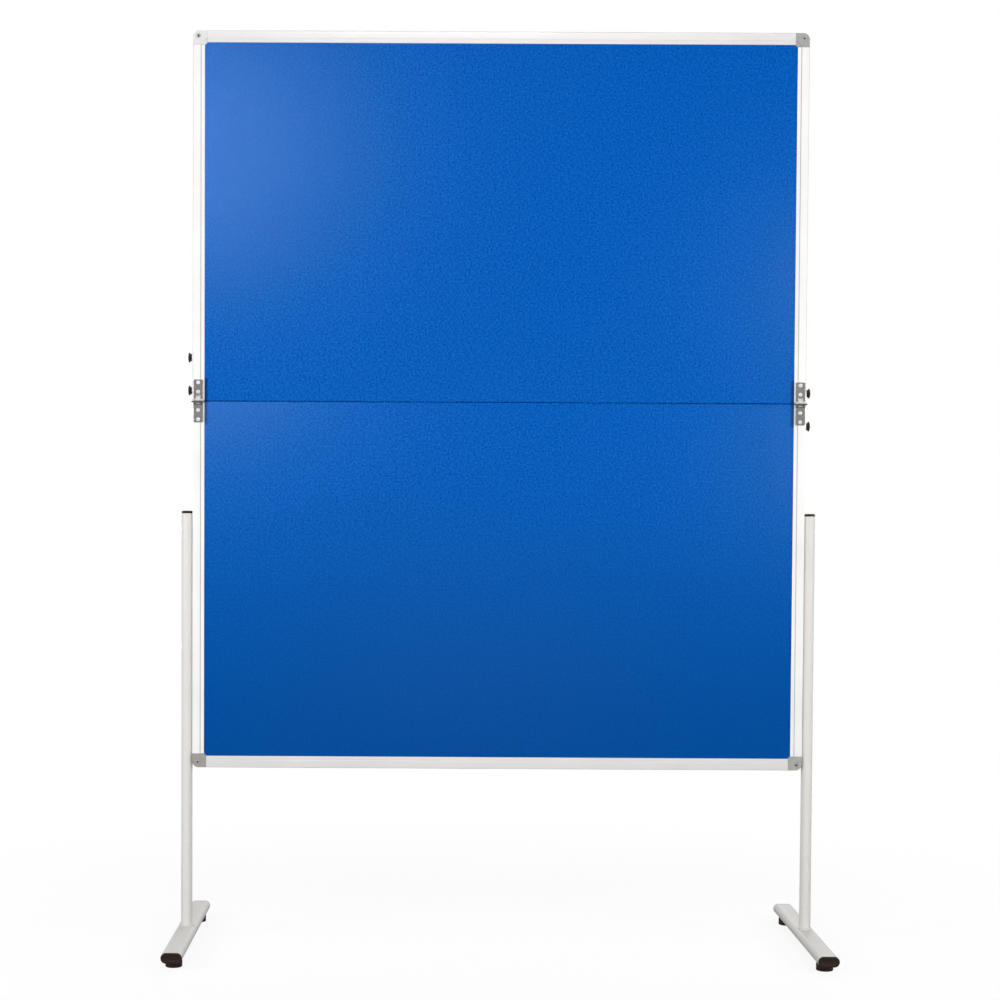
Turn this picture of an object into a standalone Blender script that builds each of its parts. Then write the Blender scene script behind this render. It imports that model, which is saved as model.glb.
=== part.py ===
"""Mobile pinboard that folds in half across its middle, on two legs with flat oval feet.

Metres, +Z up. X runs to the right and Y to the back, so the hinges are on the front, at -Y.
The origin is on the floor, below the middle of the board.
"""

import math

import bmesh
import bpy
from mathutils import Matrix, Vector

# Clearances and modelling tolerances
SEAT_GAP = 0.0003           # between pieces that touch or turn in each other
CUT_OVERRUN = 0.002         # how far a cutter or a joined root runs past the surface
MERGE_DISTANCE = 0.000001   # points closer than this are one
SHARP_ANGLE = math.radians(32)
LEFT = -1
RIGHT = 1

# Board as a whole
BOARD_WIDTH = 1.200         # outside of the frame
PANEL_HEIGHT = 0.7195       # each half, to its end at the fold
FOLD_GAP = 0.001            # between the two halves
FLOOR_CLEARANCE = 0.350     # floor to the lower edge of the frame

# Frame profile, u inwards from its outer side and v from the middle to the back
FRAME_FACE = 0.0228         # width of the profile seen from the front
FRAME_DEPTH = 0.020
BAND_WIDTH = 0.0148         # raised outer band
CHANNEL_FLOOR = 0.015       # outer side to the floor of the channel that holds the panel
EDGE_RADIUS = 0.0008
EDGE_STEPS = 2
GROOVE_WIDTH = 0.0015
GROOVE_DEPTH = 0.0008
LIP_SETBACK = 0.0005        # the inner lip lies this much behind the band
LIP_THICKNESS = 0.0013
PROFILE_WALL = 0.0013
SLOT_MOUTH = 0.0074         # slot for bolts in the outer side
SLOT_LIP = 0.0015
SLOT_WIDTH = 0.0120
SLOT_DEPTH = 0.0055

# Panel
FELT_THICKNESS = 0.0016
FELT_STEPS = 4              # round the panel's edges at the fold

# Corner pieces
CORNER_LEG = 0.027          # how far the corner piece reaches along each profile
CORNER_RADIUS = 0.0125
CORNER_STEPS = 6
CORNER_PLATE = 0.0155       # width of the raised plate along each profile
CORNER_PLATE_BEND = 0.0235  # where the raised plate's straight edge turns to the diagonal
CORNER_PLATE_RISE = 0.0008
GUSSET_STEP = 0.0003        # the gusset ends this much short of the raised plate
GUSSET_NOSE = 0.005         # how far its tip reaches along each lip, over the felt's corner
CORNER_PROUD = 0.0004       # the raised plate stands this much in front of the band
TONGUE_LENGTH = 0.025
SCREW_PLACE = 0.0105        # middle of the corner screw, from both outer sides
SCREW_HEAD_RADIUS = 0.0042
SCREW_HEAD_HEIGHT = 0.0022
SCREW_SHANK_RADIUS = 0.0018
SCREW_SHANK_LENGTH = 0.0115
SOCKET_RADIUS = 0.0019
SOCKET_DEPTH = 0.0016

# Hinges
LEAF_WIDTH = 0.0186
LEAF_LENGTH = 0.042         # fold to the end of a leaf
LEAF_THICKNESS = 0.0015
LEAF_CORNER_RADIUS = 0.0022
LEAF_CORNER_STEPS = 3
CURL_RADIUS = 0.0032        # middle of the leaf's metal, round the pin
CURL_STEPS = 14
CURL_TURN = math.radians(300)
RAMP_ANGLE = math.radians(138)      # on the curl, where the upper leaf's tongue meets it
MIDDLE_KNUCKLE = 0.0088
RAMP_START = 0.0095         # above the fold, where the middle tongue leaves the upper leaf
RIVET_NEAR = 0.018          # from the fold
RIVET_FAR = 0.036
RIVET_RADIUS = 0.0018
RIVET_HEAD_RADIUS = 0.0036
RIVET_HEAD_HEIGHT = 0.0015
RIVET_SLOPE_SHARE = 0.25    # how low the dome's edge and its middle ring lie, as a share of its height
RIVET_EYE_RADIUS = 0.0011
RIVET_EYE_DEPTH = 0.0006
RIVET_TAIL_LENGTH = 0.0045
PIN_PLAY = 0.0003
PIN_OUTER_REACH = 0.0045    # pin end past the leaf, on the board's outer side
PIN_INNER_REACH = 0.0030
PIN_COLLAR_SHARE = 0.4      # straight part of a pin end, as a share of its reach
PIN_TIP_SHARE = 0.45        # the tapered end's tip, as a share of the pin's radius

# Lock
PIVOT_HEIGHT = 0.0207       # pivot knob above the fold
LOCK_SPACING = 0.0645       # pivot knob to end knob
LINK_WIDTH = 0.014
LINK_THICKNESS = 0.0015
LINK_END_STEPS = 10
STUD_RADIUS = 0.0030
NUT_LENGTH = 0.012
NUT_PLAY = 0.0014           # slot depth less nut thickness
KNOB_RADIUS = 0.0096
KNOB_BOSS_RADIUS = 0.0071
KNOB_BOSS_HEIGHT = 0.0035
KNOB_UNDERCUT = 0.0009      # height of the slope under the rim
KNOB_RIM_HEIGHT = 0.0011
KNOB_SHOULDER = 0.0010      # height of the slope over the rim
KNOB_DOME = 0.0008
KNOB_FLUTE_DEPTH = 0.0006
KNOB_FLUTES = 18
KNOB_NECK_SHARE = 0.84      # radius where the slopes end, as a share of the knob's radius
KNOB_DOME_SHARE = 0.45

# Legs
LEG_RADIUS = 0.011
LEG_WALL = 0.0015
LEG_STEPS = 28
LEG_SIDE_GAP = 0.0004       # leg tube to the side of the frame
LEG_OVERLAP = 0.500         # leg tube beside the frame
WELD_HEIGHT = 0.003
WELD_WIDTH = 0.0028
LEG_CAP_HEIGHT = 0.0054
LEG_CAP_SIDE_SHARE = 0.6    # height of the cap's straight side, as a share of its height
LEG_CAP_TOP_SHARE = 0.72    # radius of the cap's flat top, as a share of the leg's radius
LEG_PLUG_LENGTH = 0.012
UPPER_BOLT_DROP = 0.030     # below the top of the leg tube
BOLT_SPACING = 0.230
BOLT_RADIUS = 0.0030
BOLT_HEAD_RADIUS = 0.0050
BOLT_HEAD_HEIGHT = 0.0035
ACCESS_PLAY = 0.0008        # access hole wider than the bolt's head

# Feet
FOOT_LENGTH = 0.500         # over its end caps
FOOT_WIDTH = 0.040
FOOT_HEIGHT = 0.020
FOOT_WALL = 0.0015
FOOT_END_STEPS = 10
FOOT_CAP_THICKNESS = 0.003
FOOT_CAP_BEVEL = 0.0012
FOOT_CAP_BEVEL_SHARE = 0.5  # how far the bevel runs back along the foot, as a share of its width
FOOT_PLUG_LENGTH = 0.012
WELD_NUT_RADIUS = 0.0080    # to its corners, inside the foot over each glide
WELD_NUT_HEIGHT = 0.0060
WELD_NUT_SIDES = 6
GLIDE_INSET = 0.044         # end of the foot to the glide's middle
GLIDE_RADIUS = 0.016
GLIDE_HEIGHT = 0.0142
GLIDE_EDGE = 0.0014
GLIDE_STUD_RADIUS = 0.0040
GLIDE_STUD_LENGTH = 0.014
ROUND_STEPS = 24
SMALL_STEPS = 12

# Sizes that follow from those above
HALF_WIDTH = BOARD_WIDTH / 2
HALF_DEPTH = FRAME_DEPTH / 2
FOLD_HEIGHT = FLOOR_CLEARANCE + PANEL_HEIGHT + FOLD_GAP / 2
BOARD_TOP = FOLD_HEIGHT + FOLD_GAP / 2 + PANEL_HEIGHT
GROOVE_END = BAND_WIDTH + GROOVE_WIDTH
CHANNEL_HALF = HALF_DEPTH - LIP_SETBACK - LIP_THICKNESS
SLOT_FLOOR = SLOT_LIP + SLOT_DEPTH
CHAMBER_START = SLOT_FLOOR + PROFILE_WALL
CHAMBER_END = CHANNEL_FLOOR - PROFILE_WALL
CHAMBER_HALF = HALF_DEPTH - GROOVE_DEPTH - PROFILE_WALL / 2
CHAMBER_MIDDLE = (CHAMBER_START + CHAMBER_END) / 2
CORE_HALF = CHANNEL_HALF - FELT_THICKNESS - 2 * SEAT_GAP
PIN_OFFSET = SEAT_GAP + LEAF_THICKNESS / 2 + CURL_RADIUS
PIN_Y = -HALF_DEPTH - PIN_OFFSET
PIN_RADIUS = CURL_RADIUS - LEAF_THICKNESS / 2 - PIN_PLAY
CURL_OUTSIDE = CURL_RADIUS + LEAF_THICKNESS / 2
RIVET_TAIL_RADIUS = CHAMBER_MIDDLE - CHAMBER_START - SEAT_GAP
LEG_X = HALF_WIDTH + LEG_SIDE_GAP + LEG_RADIUS
LEG_TOP = FLOOR_CLEARANCE + LEG_OVERLAP
FOOT_BOTTOM = GLIDE_HEIGHT + SEAT_GAP
FOOT_TOP = FOOT_BOTTOM + FOOT_HEIGHT
GLIDE_Y = FOOT_LENGTH / 2 - GLIDE_INSET
LINK_SIDE = SEAT_GAP
KNOB_SIDE = LINK_SIDE + LINK_THICKNESS + SEAT_GAP


def finish_material(name, colour, roughness, metallic):
    material = bpy.data.materials.new(name)
    material.use_nodes = True
    shader = material.node_tree.nodes["Principled BSDF"]
    shader.inputs["Base Color"].default_value = (*colour, 1)
    shader.inputs["Roughness"].default_value = roughness
    shader.inputs["Metallic"].default_value = metallic
    return material


def clear_scene():
    for thing in list(bpy.data.objects):
        bpy.data.objects.remove(thing, do_unlink=True)


def axis_empty(name, place, parent=None):
    """An empty on a joint's axis, which carries the pieces that move with it."""
    empty = bpy.data.objects.new(name, None)
    bpy.context.collection.objects.link(empty)
    set_place(empty, place, parent)
    return empty


def world_place(thing):
    place = Vector((0, 0, 0))
    while thing:
        place += thing.location
        thing = thing.parent
    return place


def set_place(thing, place, parent):
    thing.parent = parent
    thing.location = Vector(place) - world_place(parent)


def solid(name, bm, material, place=(0, 0, 0), parent=None):
    """Turns a bmesh into a named object whose faces point out."""
    bmesh.ops.remove_doubles(bm, verts=bm.verts, dist=MERGE_DISTANCE)
    bmesh.ops.recalc_face_normals(bm, faces=bm.faces)
    mesh = bpy.data.meshes.new(name)
    bm.to_mesh(mesh)
    bm.free()
    mesh.shade_smooth()
    mesh.set_sharp_from_angle(angle=SHARP_ANGLE)
    mesh.materials.append(material)
    thing = bpy.data.objects.new(name, mesh)
    bpy.context.collection.objects.link(thing)
    set_place(thing, place, parent)
    return thing


def boolean(thing, tool, operation):
    """Cuts or joins a helper object, which itself stays out of the model."""
    change = thing.modifiers.new(operation.lower(), 'BOOLEAN')
    change.operation = operation
    change.solver = 'EXACT'
    change.object = tool
    tool.display_type = 'WIRE'
    tool.hide_render = True


def arc(centre, radius, start, end, steps):
    """Points on an arc, both ends included, with angles in radians."""
    points = []
    for step in range(steps + 1):
        angle = start + (end - start) * step / steps
        points.append((centre[0] + radius * math.cos(angle), centre[1] + radius * math.sin(angle)))
    return points


def circle(centre, radius, steps):
    return arc(centre, radius, 0, math.tau, steps)[:-1]


def obround(half_width, half_height, steps):
    """Outline with straight long sides and half-round ends, wider than it is high."""
    reach = half_width - half_height
    right = arc((reach, 0), half_height, -math.pi / 2, math.pi / 2, steps)
    left = arc((-reach, 0), half_height, math.pi / 2, 3 * math.pi / 2, steps)
    return right + left


def move_new(bm, before, matrix):
    """Lays the points that were added since a count was taken."""
    bmesh.ops.transform(bm, matrix=matrix, verts=[vert for vert in bm.verts if vert not in before])


def prism(bm, loops, low, high, turn=None):
    """Extrudes a flat outline, with holes as further loops, from low to high along its own Z."""
    before = set(bm.verts)
    edges = []
    for loop in loops:
        verts = [bm.verts.new((u, v, low)) for u, v in loop]
        edges += [bm.edges.new(pair) for pair in zip(verts, verts[1:] + verts[:1])]
    if len(loops) > 1:
        filled = bmesh.ops.triangle_fill(bm, use_beauty=True, use_dissolve=False, edges=edges)
        faces = [item for item in filled["geom"] if isinstance(item, bmesh.types.BMFace)]
    else:
        faces = [bm.faces.new(verts)]
    raised = bmesh.ops.extrude_face_region(bm, geom=faces, use_keep_orig=True)
    top = [item for item in raised["geom"] if isinstance(item, bmesh.types.BMVert)]
    bmesh.ops.translate(bm, verts=top, vec=(0, 0, high - low))
    if turn:
        move_new(bm, before, turn)


def box(bm, low, high):
    corners = [(low[0], low[1]), (high[0], low[1]), (high[0], high[1]), (low[0], high[1])]
    prism(bm, [corners], low[2], high[2])


def turned(bm, profile, steps, turn=None, closed=False):
    """Spins a profile of (radius, height) points about Z; a closed one is a ring."""
    before = set(bm.verts)
    verts = [bm.verts.new((radius, 0, height)) for radius, height in profile]
    following = verts[1:] + verts[:1] if closed else verts[1:]
    edges = [bm.edges.new(pair) for pair in zip(verts, following)]
    bmesh.ops.spin(bm, geom=verts + edges, cent=(0, 0, 0), axis=(0, 0, 1),
                   angle=math.tau, steps=steps, use_merge=True)
    if turn:
        move_new(bm, before, turn)


def stack(bm, outlines, turn):
    """Joins outlines of equally many points, each at its height, into one closed body."""
    loops = [[bm.verts.new((u, v, height)) for u, v in outline] for outline, height in outlines]
    for lower, upper in zip(loops, loops[1:]):
        for at in range(len(lower)):
            following = (at + 1) % len(lower)
            bm.faces.new((lower[at], lower[following], upper[following], upper[at]))
    bm.faces.new(loops[0])
    bm.faces.new(loops[-1])
    bmesh.ops.transform(bm, matrix=turn, verts=bm.verts)


def turn_to(axis, place=(0, 0, 0)):
    """Matrix that lays a shape's own Z along an axis of the board and moves it to a place."""
    quarter = math.pi / 2
    turns = {
        "+X": Matrix.Rotation(quarter, 4, 'Y'),
        "-X": Matrix.Rotation(-quarter, 4, 'Y'),
        "+Y": Matrix.Rotation(-quarter, 4, 'X'),
        "-Y": Matrix.Rotation(quarter, 4, 'X'),
    }
    return Matrix.Translation(Vector(place)) @ turns[axis]


def lay_across(mirror=1, offset=0):
    """Matrix that lays a section drawn in Y and Z along X."""
    return Matrix(((0, 0, mirror, offset), (1, 0, 0, 0), (0, 1, 0, 0), (0, 0, 0, 1)))


def outward(side):
    return "+X" if side == RIGHT else "-X"


# Frame

def profile_loops():
    """The extrusion's section: bolt slot, closed chamber and the channel that holds the panel."""
    band = -HALF_DEPTH
    lip = -HALF_DEPTH + LIP_SETBACK
    front = arc((EDGE_RADIUS, band + EDGE_RADIUS), EDGE_RADIUS, math.pi, 3 * math.pi / 2, EDGE_STEPS)
    front += [
        (BAND_WIDTH, band),
        (BAND_WIDTH, band + GROOVE_DEPTH),
        (GROOVE_END, band + GROOVE_DEPTH),
        (GROOVE_END, lip),
        (FRAME_FACE, lip),
        (FRAME_FACE, -CHANNEL_HALF),
        (CHANNEL_FLOOR, -CHANNEL_HALF),
    ]
    back = [(u, -v) for u, v in reversed(front)]
    slot = [
        (0, SLOT_MOUTH / 2),
        (SLOT_LIP, SLOT_MOUTH / 2),
        (SLOT_LIP, SLOT_WIDTH / 2),
        (SLOT_FLOOR, SLOT_WIDTH / 2),
    ]
    slot += [(u, -v) for u, v in reversed(slot)]
    chamber = [
        (CHAMBER_START, -CHAMBER_HALF),
        (CHAMBER_END, -CHAMBER_HALF),
        (CHAMBER_END, CHAMBER_HALF),
        (CHAMBER_START, CHAMBER_HALF),
    ]
    return [front + back + slot, chamber]


def stile(name, side, low, high, rivet_heights, material, parent):
    """An upright profile; its outer side faces away from the board."""
    bm = bmesh.new()
    loops = [[(side * (HALF_WIDTH - u), v) for u, v in loop] for loop in profile_loops()]
    prism(bm, loops, low, high)
    thing = solid(name, bm, material, parent=parent)
    cut = bmesh.new()
    for height in rivet_heights:
        place = (side * (HALF_WIDTH - CHAMBER_MIDDLE), -HALF_DEPTH - CUT_OVERRUN, height)
        reach = CUT_OVERRUN + HALF_DEPTH - CHAMBER_HALF + CUT_OVERRUN
        prism(cut, [circle((0, 0), RIVET_RADIUS + SEAT_GAP, SMALL_STEPS)], 0, reach,
              turn_to("+Y", place))
    drill = solid(name + "_drill", cut, material, parent=parent)
    boolean(thing, drill, 'DIFFERENCE')


def rail(name, outer_height, inward, material, parent):
    """A level profile between two corner pieces; inward is +1 where the panel is above it."""
    bm = bmesh.new()
    loops = [[(v, outer_height + inward * u) for u, v in loop] for loop in profile_loops()]
    reach = HALF_WIDTH - CORNER_LEG - SEAT_GAP
    prism(bm, loops, -reach, reach, lay_across())
    solid(name, bm, material, parent=parent)


def corner_outline():
    """The raised plate in its own plane, with the board's outer corner at (0, 0)."""
    outside = arc((CORNER_RADIUS, CORNER_RADIUS), CORNER_RADIUS, math.pi, 3 * math.pi / 2, CORNER_STEPS)
    diagonal = CORNER_PLATE + CORNER_PLATE_RISE
    inside = [(CORNER_LEG, CORNER_PLATE), (CORNER_PLATE_BEND, diagonal), (diagonal, CORNER_PLATE_BEND),
              (CORNER_PLATE, CORNER_LEG)]
    return [(0, CORNER_LEG)] + outside + [(CORNER_LEG, 0)] + inside


def corner(name, side, outer_height, inward, materials, parent):
    """A moulded corner: a block with a raised plate, two tongues, a pocket for the panel and a screw."""
    place = Matrix((
        (-side, 0, 0, side * HALF_WIDTH),
        (0, 0, 1, 0),
        (0, inward, 0, outer_height),
        (0, 0, 0, 1),
    ))
    raised = HALF_DEPTH + CORNER_PROUD
    level = HALF_DEPTH - LIP_SETBACK
    lip = FRAME_FACE + SEAT_GAP
    nose = lip + GUSSET_NOSE
    bm = bmesh.new()
    prism(bm, [corner_outline()], -raised, raised, place)
    thing = solid(name, bm, materials["corner"], parent=parent)

    def helper(suffix, shape, operation):
        mesh = bmesh.new()
        shape(mesh)
        bmesh.ops.transform(mesh, matrix=place, verts=mesh.verts)
        tool = solid(name + suffix, mesh, materials["corner"], parent=parent)
        boolean(thing, tool, operation)

    def gusset(mesh):
        root = CORNER_PLATE - CUT_OVERRUN
        end = CORNER_LEG - GUSSET_STEP
        outline = [(root, root), (end, root), (end, lip), (nose, lip), (lip, nose), (lip, end), (root, end)]
        prism(mesh, [outline], -level, level)

    def tongues(mesh):
        root = CORNER_LEG - CUT_OVERRUN
        tip = CORNER_LEG + TONGUE_LENGTH
        near = CHAMBER_START + SEAT_GAP
        far = CHAMBER_END - SEAT_GAP
        half = CHAMBER_HALF - SEAT_GAP
        box(mesh, (near, root, -half), (far, tip, half))
        box(mesh, (root, near, -half), (tip, far, half))

    def pocket(mesh):
        low = CHANNEL_FLOOR
        high = nose + CUT_OVERRUN
        box(mesh, (low, low, -CHANNEL_HALF), (high, high, CHANNEL_HALF))

    head = -raised + SEAT_GAP
    under_head = head + SCREW_HEAD_HEIGHT
    tip = under_head + SCREW_SHANK_LENGTH

    def screw_hole(mesh):
        recess = SCREW_HEAD_RADIUS + SEAT_GAP
        bore = SCREW_SHANK_RADIUS + SEAT_GAP
        floor = under_head + SEAT_GAP
        end = tip + SEAT_GAP
        profile = [(0, -raised - CUT_OVERRUN), (recess, -raised - CUT_OVERRUN), (recess, floor),
                   (bore, floor), (bore, end), (0, end)]
        turned(mesh, profile, ROUND_STEPS, Matrix.Translation((SCREW_PLACE, SCREW_PLACE, 0)))

    helper("_gusset", gusset, 'UNION')
    helper("_tongues", tongues, 'UNION')
    helper("_pocket", pocket, 'DIFFERENCE')
    helper("_hole", screw_hole, 'DIFFERENCE')

    profile = [
        (0, head + SOCKET_DEPTH),
        (SOCKET_RADIUS, head + SOCKET_DEPTH),
        (SOCKET_RADIUS, head),
        (SCREW_HEAD_RADIUS, head),
        (SCREW_HEAD_RADIUS, under_head),
        (SCREW_SHANK_RADIUS, under_head),
        (SCREW_SHANK_RADIUS, tip),
        (0, tip),
    ]
    bm = bmesh.new()
    turned(bm, profile, ROUND_STEPS, place @ Matrix.Translation((SCREW_PLACE, SCREW_PLACE, 0)))
    solid(name + "_screw", bm, materials["zinc"], parent=parent)


# Panel

def panel(half, frame_end, fold_end, materials, parent):
    """Core board, and one sheet of felt that runs from its front over the fold's edge to its back."""
    across = HALF_WIDTH - CHANNEL_FLOOR - SEAT_GAP
    out = 1 if fold_end > frame_end else -1
    turn = fold_end - out * FELT_THICKNESS
    core_ends = (frame_end, turn - out * SEAT_GAP)
    bm = bmesh.new()
    box(bm, (-across, -CORE_HALF, min(core_ends)), (across, CORE_HALF, max(core_ends)))
    solid(half + "_core", bm, materials["core"], parent=parent)

    inner = CORE_HALF + SEAT_GAP
    outer = inner + FELT_THICKNESS
    front_bend = arc((-inner, 0), FELT_THICKNESS, math.pi, math.pi / 2, FELT_STEPS)
    back_bend = arc((inner, 0), FELT_THICKNESS, math.pi / 2, 0, FELT_STEPS)
    bend = [(v, turn + out * past) for v, past in front_bend + back_bend]
    outline = [(-inner, frame_end), (-outer, frame_end)] + bend
    outline += [(outer, frame_end), (inner, frame_end), (inner, turn), (-inner, turn)]
    bm = bmesh.new()
    prism(bm, [outline], -across, across, lay_across())
    solid(half + "_felt", bm, materials["felt"], parent=parent)


# Hinges

def thick_path(path, thickness):
    """Outline of a strip of metal bent along a path of its middle."""
    sides = ([], [])
    for at, point in enumerate(path):
        before = Vector(path[max(at - 1, 0)])
        after = Vector(path[min(at + 1, len(path) - 1)])
        into = (Vector(point) - before).normalized() if at else (after - Vector(point)).normalized()
        away = (after - Vector(point)).normalized() if at < len(path) - 1 else into
        along = (into + away).normalized()
        normal = Vector((-along.y, along.x))
        half = thickness / 2 / along.dot(into)
        sides[0].append(tuple(Vector(point) + normal * half))
        sides[1].append(tuple(Vector(point) - normal * half))
    return sides[0] + sides[1][::-1]


def strip(bm, path, low, high):
    """The bent strip, between two distances along X; the path is in Y and Z from the pin."""
    prism(bm, [thick_path(path, LEAF_THICKNESS)], low, high, lay_across())


def leaf(name, side, half, material, parent):
    """A hinge leaf, in place; half is +1 for the upper leaf, whose one tongue runs over the pin."""
    middle = side * (HALF_WIDTH - CHAMBER_MIDDLE)
    pin = Vector((middle, PIN_Y, FOLD_HEIGHT))
    plate_y = CURL_RADIUS
    inner_end = CURL_OUTSIDE + SEAT_GAP * 2
    half_leaf = LEAF_WIDTH / 2
    half_knuckle = MIDDLE_KNUCKLE / 2
    slit = half_knuckle + SEAT_GAP
    notch_end = RAMP_START + LEAF_THICKNESS if half > 0 else CURL_OUTSIDE + LEAF_THICKNESS
    side_start = slit + SEAT_GAP
    side_end = half_leaf - SEAT_GAP

    def round_corner(x, z, start):
        centre = (x - math.copysign(LEAF_CORNER_RADIUS, x), z - LEAF_CORNER_RADIUS)
        return arc(centre, LEAF_CORNER_RADIUS, start, start + math.pi / 2, LEAF_CORNER_STEPS)

    outline = [(-half_leaf, inner_end), (-slit, inner_end), (-slit, notch_end), (slit, notch_end),
               (slit, inner_end), (half_leaf, inner_end)]
    outline += round_corner(half_leaf, LEAF_LENGTH, 0)
    outline += round_corner(-half_leaf, LEAF_LENGTH, math.pi / 2)
    holes = [circle((0, height), RIVET_RADIUS + SEAT_GAP, SMALL_STEPS)
             for height in (RIVET_NEAR, RIVET_FAR)]
    flat = Matrix(((1, 0, 0, 0), (0, 0, 1, 0), (0, half, 0, 0), (0, 0, 0, 1)))
    bm = bmesh.new()
    prism(bm, [outline] + holes, plate_y - LEAF_THICKNESS / 2, plate_y + LEAF_THICKNESS / 2, flat)
    thing = solid(name, bm, material)

    bm = bmesh.new()
    if half > 0:
        curl = arc((0, 0), CURL_RADIUS, RAMP_ANGLE, RAMP_ANGLE + CURL_TURN, CURL_STEPS)
        path = [(plate_y, notch_end + CUT_OVERRUN), (plate_y, RAMP_START)] + curl
        strip(bm, path, -half_knuckle, half_knuckle)
    else:
        curl = arc((0, 0), CURL_RADIUS, 0, CURL_TURN, CURL_STEPS)
        path = [(plate_y, -inner_end - CUT_OVERRUN)] + curl
        strip(bm, path, -side_end, -side_start)
        strip(bm, path, side_start, side_end)
    knuckle = solid(name + "_knuckle", bm, material)
    boolean(thing, knuckle, 'UNION')
    for part in (thing, knuckle):
        set_place(part, pin, parent)


def hinge_pin(name, side, material):
    """The pin with tapered ends; it stays with the lower half."""
    outer = LEAF_WIDTH / 2 + PIN_OUTER_REACH
    inner = -LEAF_WIDTH / 2 - PIN_INNER_REACH
    tip = PIN_RADIUS * PIN_TIP_SHARE
    collar = PIN_RADIUS + PIN_PLAY + LEAF_THICKNESS / 2
    shoulder = LEAF_WIDTH / 2 + SEAT_GAP
    profile = [
        (0, inner),
        (tip, inner),
        (collar, -shoulder - PIN_INNER_REACH * PIN_COLLAR_SHARE),
        (collar, -shoulder),
        (PIN_RADIUS, -shoulder),
        (PIN_RADIUS, shoulder),
        (collar, shoulder),
        (collar, shoulder + PIN_OUTER_REACH * PIN_COLLAR_SHARE),
        (tip, outer),
        (0, outer),
    ]
    bm = bmesh.new()
    turned(bm, profile, ROUND_STEPS, turn_to(outward(side)))
    solid(name, bm, material, (side * (HALF_WIDTH - CHAMBER_MIDDLE), PIN_Y, FOLD_HEIGHT))


def rivet(name, side, height, material, parent):
    """A blind rivet, with the small eye where the mandrel broke off."""
    face = -HALF_DEPTH - SEAT_GAP - LEAF_THICKNESS - SEAT_GAP
    inside = -CHAMBER_HALF + SEAT_GAP
    dome = face - RIVET_HEAD_HEIGHT
    profile = [
        (0, dome + RIVET_EYE_DEPTH),
        (RIVET_EYE_RADIUS, dome + RIVET_EYE_DEPTH),
        (RIVET_EYE_RADIUS, dome),
        ((RIVET_EYE_RADIUS + RIVET_HEAD_RADIUS) / 2, dome + RIVET_HEAD_HEIGHT * RIVET_SLOPE_SHARE),
        (RIVET_HEAD_RADIUS, face - RIVET_HEAD_HEIGHT * RIVET_SLOPE_SHARE),
        (RIVET_HEAD_RADIUS, face),
        (RIVET_RADIUS, face),
        (RIVET_RADIUS, inside),
        (RIVET_TAIL_RADIUS, inside),
        (RIVET_TAIL_RADIUS, inside + RIVET_TAIL_LENGTH),
        (0, inside + RIVET_TAIL_LENGTH),
    ]
    bm = bmesh.new()
    turned(bm, profile, SMALL_STEPS, turn_to("+Y"))
    solid(name, bm, material, (side * (HALF_WIDTH - CHAMBER_MIDDLE), 0, height), parent)


# Lock links and thumb knobs

def lock_link(name, side, end, material, parent):
    """A flat bar on the frame's side with a hole for each stud; end is +1 where it points up."""
    outline = [(across, up + end * LOCK_SPACING / 2)
               for up, across in obround((LOCK_SPACING + LINK_WIDTH) / 2, LINK_WIDTH / 2, LINK_END_STEPS)]
    holes = [circle((0, up), STUD_RADIUS + SEAT_GAP, ROUND_STEPS) for up in (0, end * LOCK_SPACING)]
    bm = bmesh.new()
    prism(bm, [outline] + holes, LINK_SIDE, LINK_SIDE + LINK_THICKNESS, lay_across(side))
    solid(name, bm, material, (side * HALF_WIDTH, 0, FOLD_HEIGHT + PIVOT_HEIGHT), parent)


def fluted(radius, depth):
    points = []
    for at in range(2 * KNOB_FLUTES):
        angle = math.tau * at / (2 * KNOB_FLUTES)
        reach = radius - depth * (at % 2)
        points.append((reach * math.cos(angle), reach * math.sin(angle)))
    return points


def knob(name, side, height, stud_end, material, parent):
    """A fluted thumb knob moulded on its stud; stud_end is how far in the stud reaches."""
    stud = fluted(STUD_RADIUS, 0)
    boss = fluted(KNOB_BOSS_RADIUS, 0)
    neck = fluted(KNOB_RADIUS * KNOB_NECK_SHARE, 0)
    edge = fluted(KNOB_RADIUS, KNOB_FLUTE_DEPTH)
    dome = fluted(KNOB_RADIUS * KNOB_DOME_SHARE, 0)
    under = KNOB_SIDE + KNOB_BOSS_HEIGHT
    rim = under + KNOB_UNDERCUT
    shoulder = rim + KNOB_RIM_HEIGHT + KNOB_SHOULDER
    outlines = [(stud, stud_end), (stud, KNOB_SIDE), (boss, KNOB_SIDE), (boss, under), (neck, under),
                (edge, rim), (edge, rim + KNOB_RIM_HEIGHT), (neck, shoulder), (dome, shoulder + KNOB_DOME)]
    bm = bmesh.new()
    stack(bm, outlines, turn_to(outward(side)))
    solid(name, bm, material, (side * HALF_WIDTH, 0, height), parent)


def slot_nut(name, side, heights, material, parent):
    """A flat nut in the slot of a stile, with a bore at each of its heights."""
    near = -(SLOT_LIP + SEAT_GAP)
    far = near - (SLOT_DEPTH - NUT_PLAY)
    half_width = SLOT_WIDTH / 2 - SEAT_GAP
    low = min(heights) - NUT_LENGTH / 2
    high = max(heights) + NUT_LENGTH / 2
    outline = [(-half_width, low), (half_width, low), (half_width, high), (-half_width, high)]
    bores = [circle((0, height), STUD_RADIUS + SEAT_GAP, ROUND_STEPS) for height in heights]
    bm = bmesh.new()
    prism(bm, [outline] + bores, far, near, lay_across(side, side * HALF_WIDTH))
    solid(name, bm, material, parent=parent)


# Legs and feet

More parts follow.
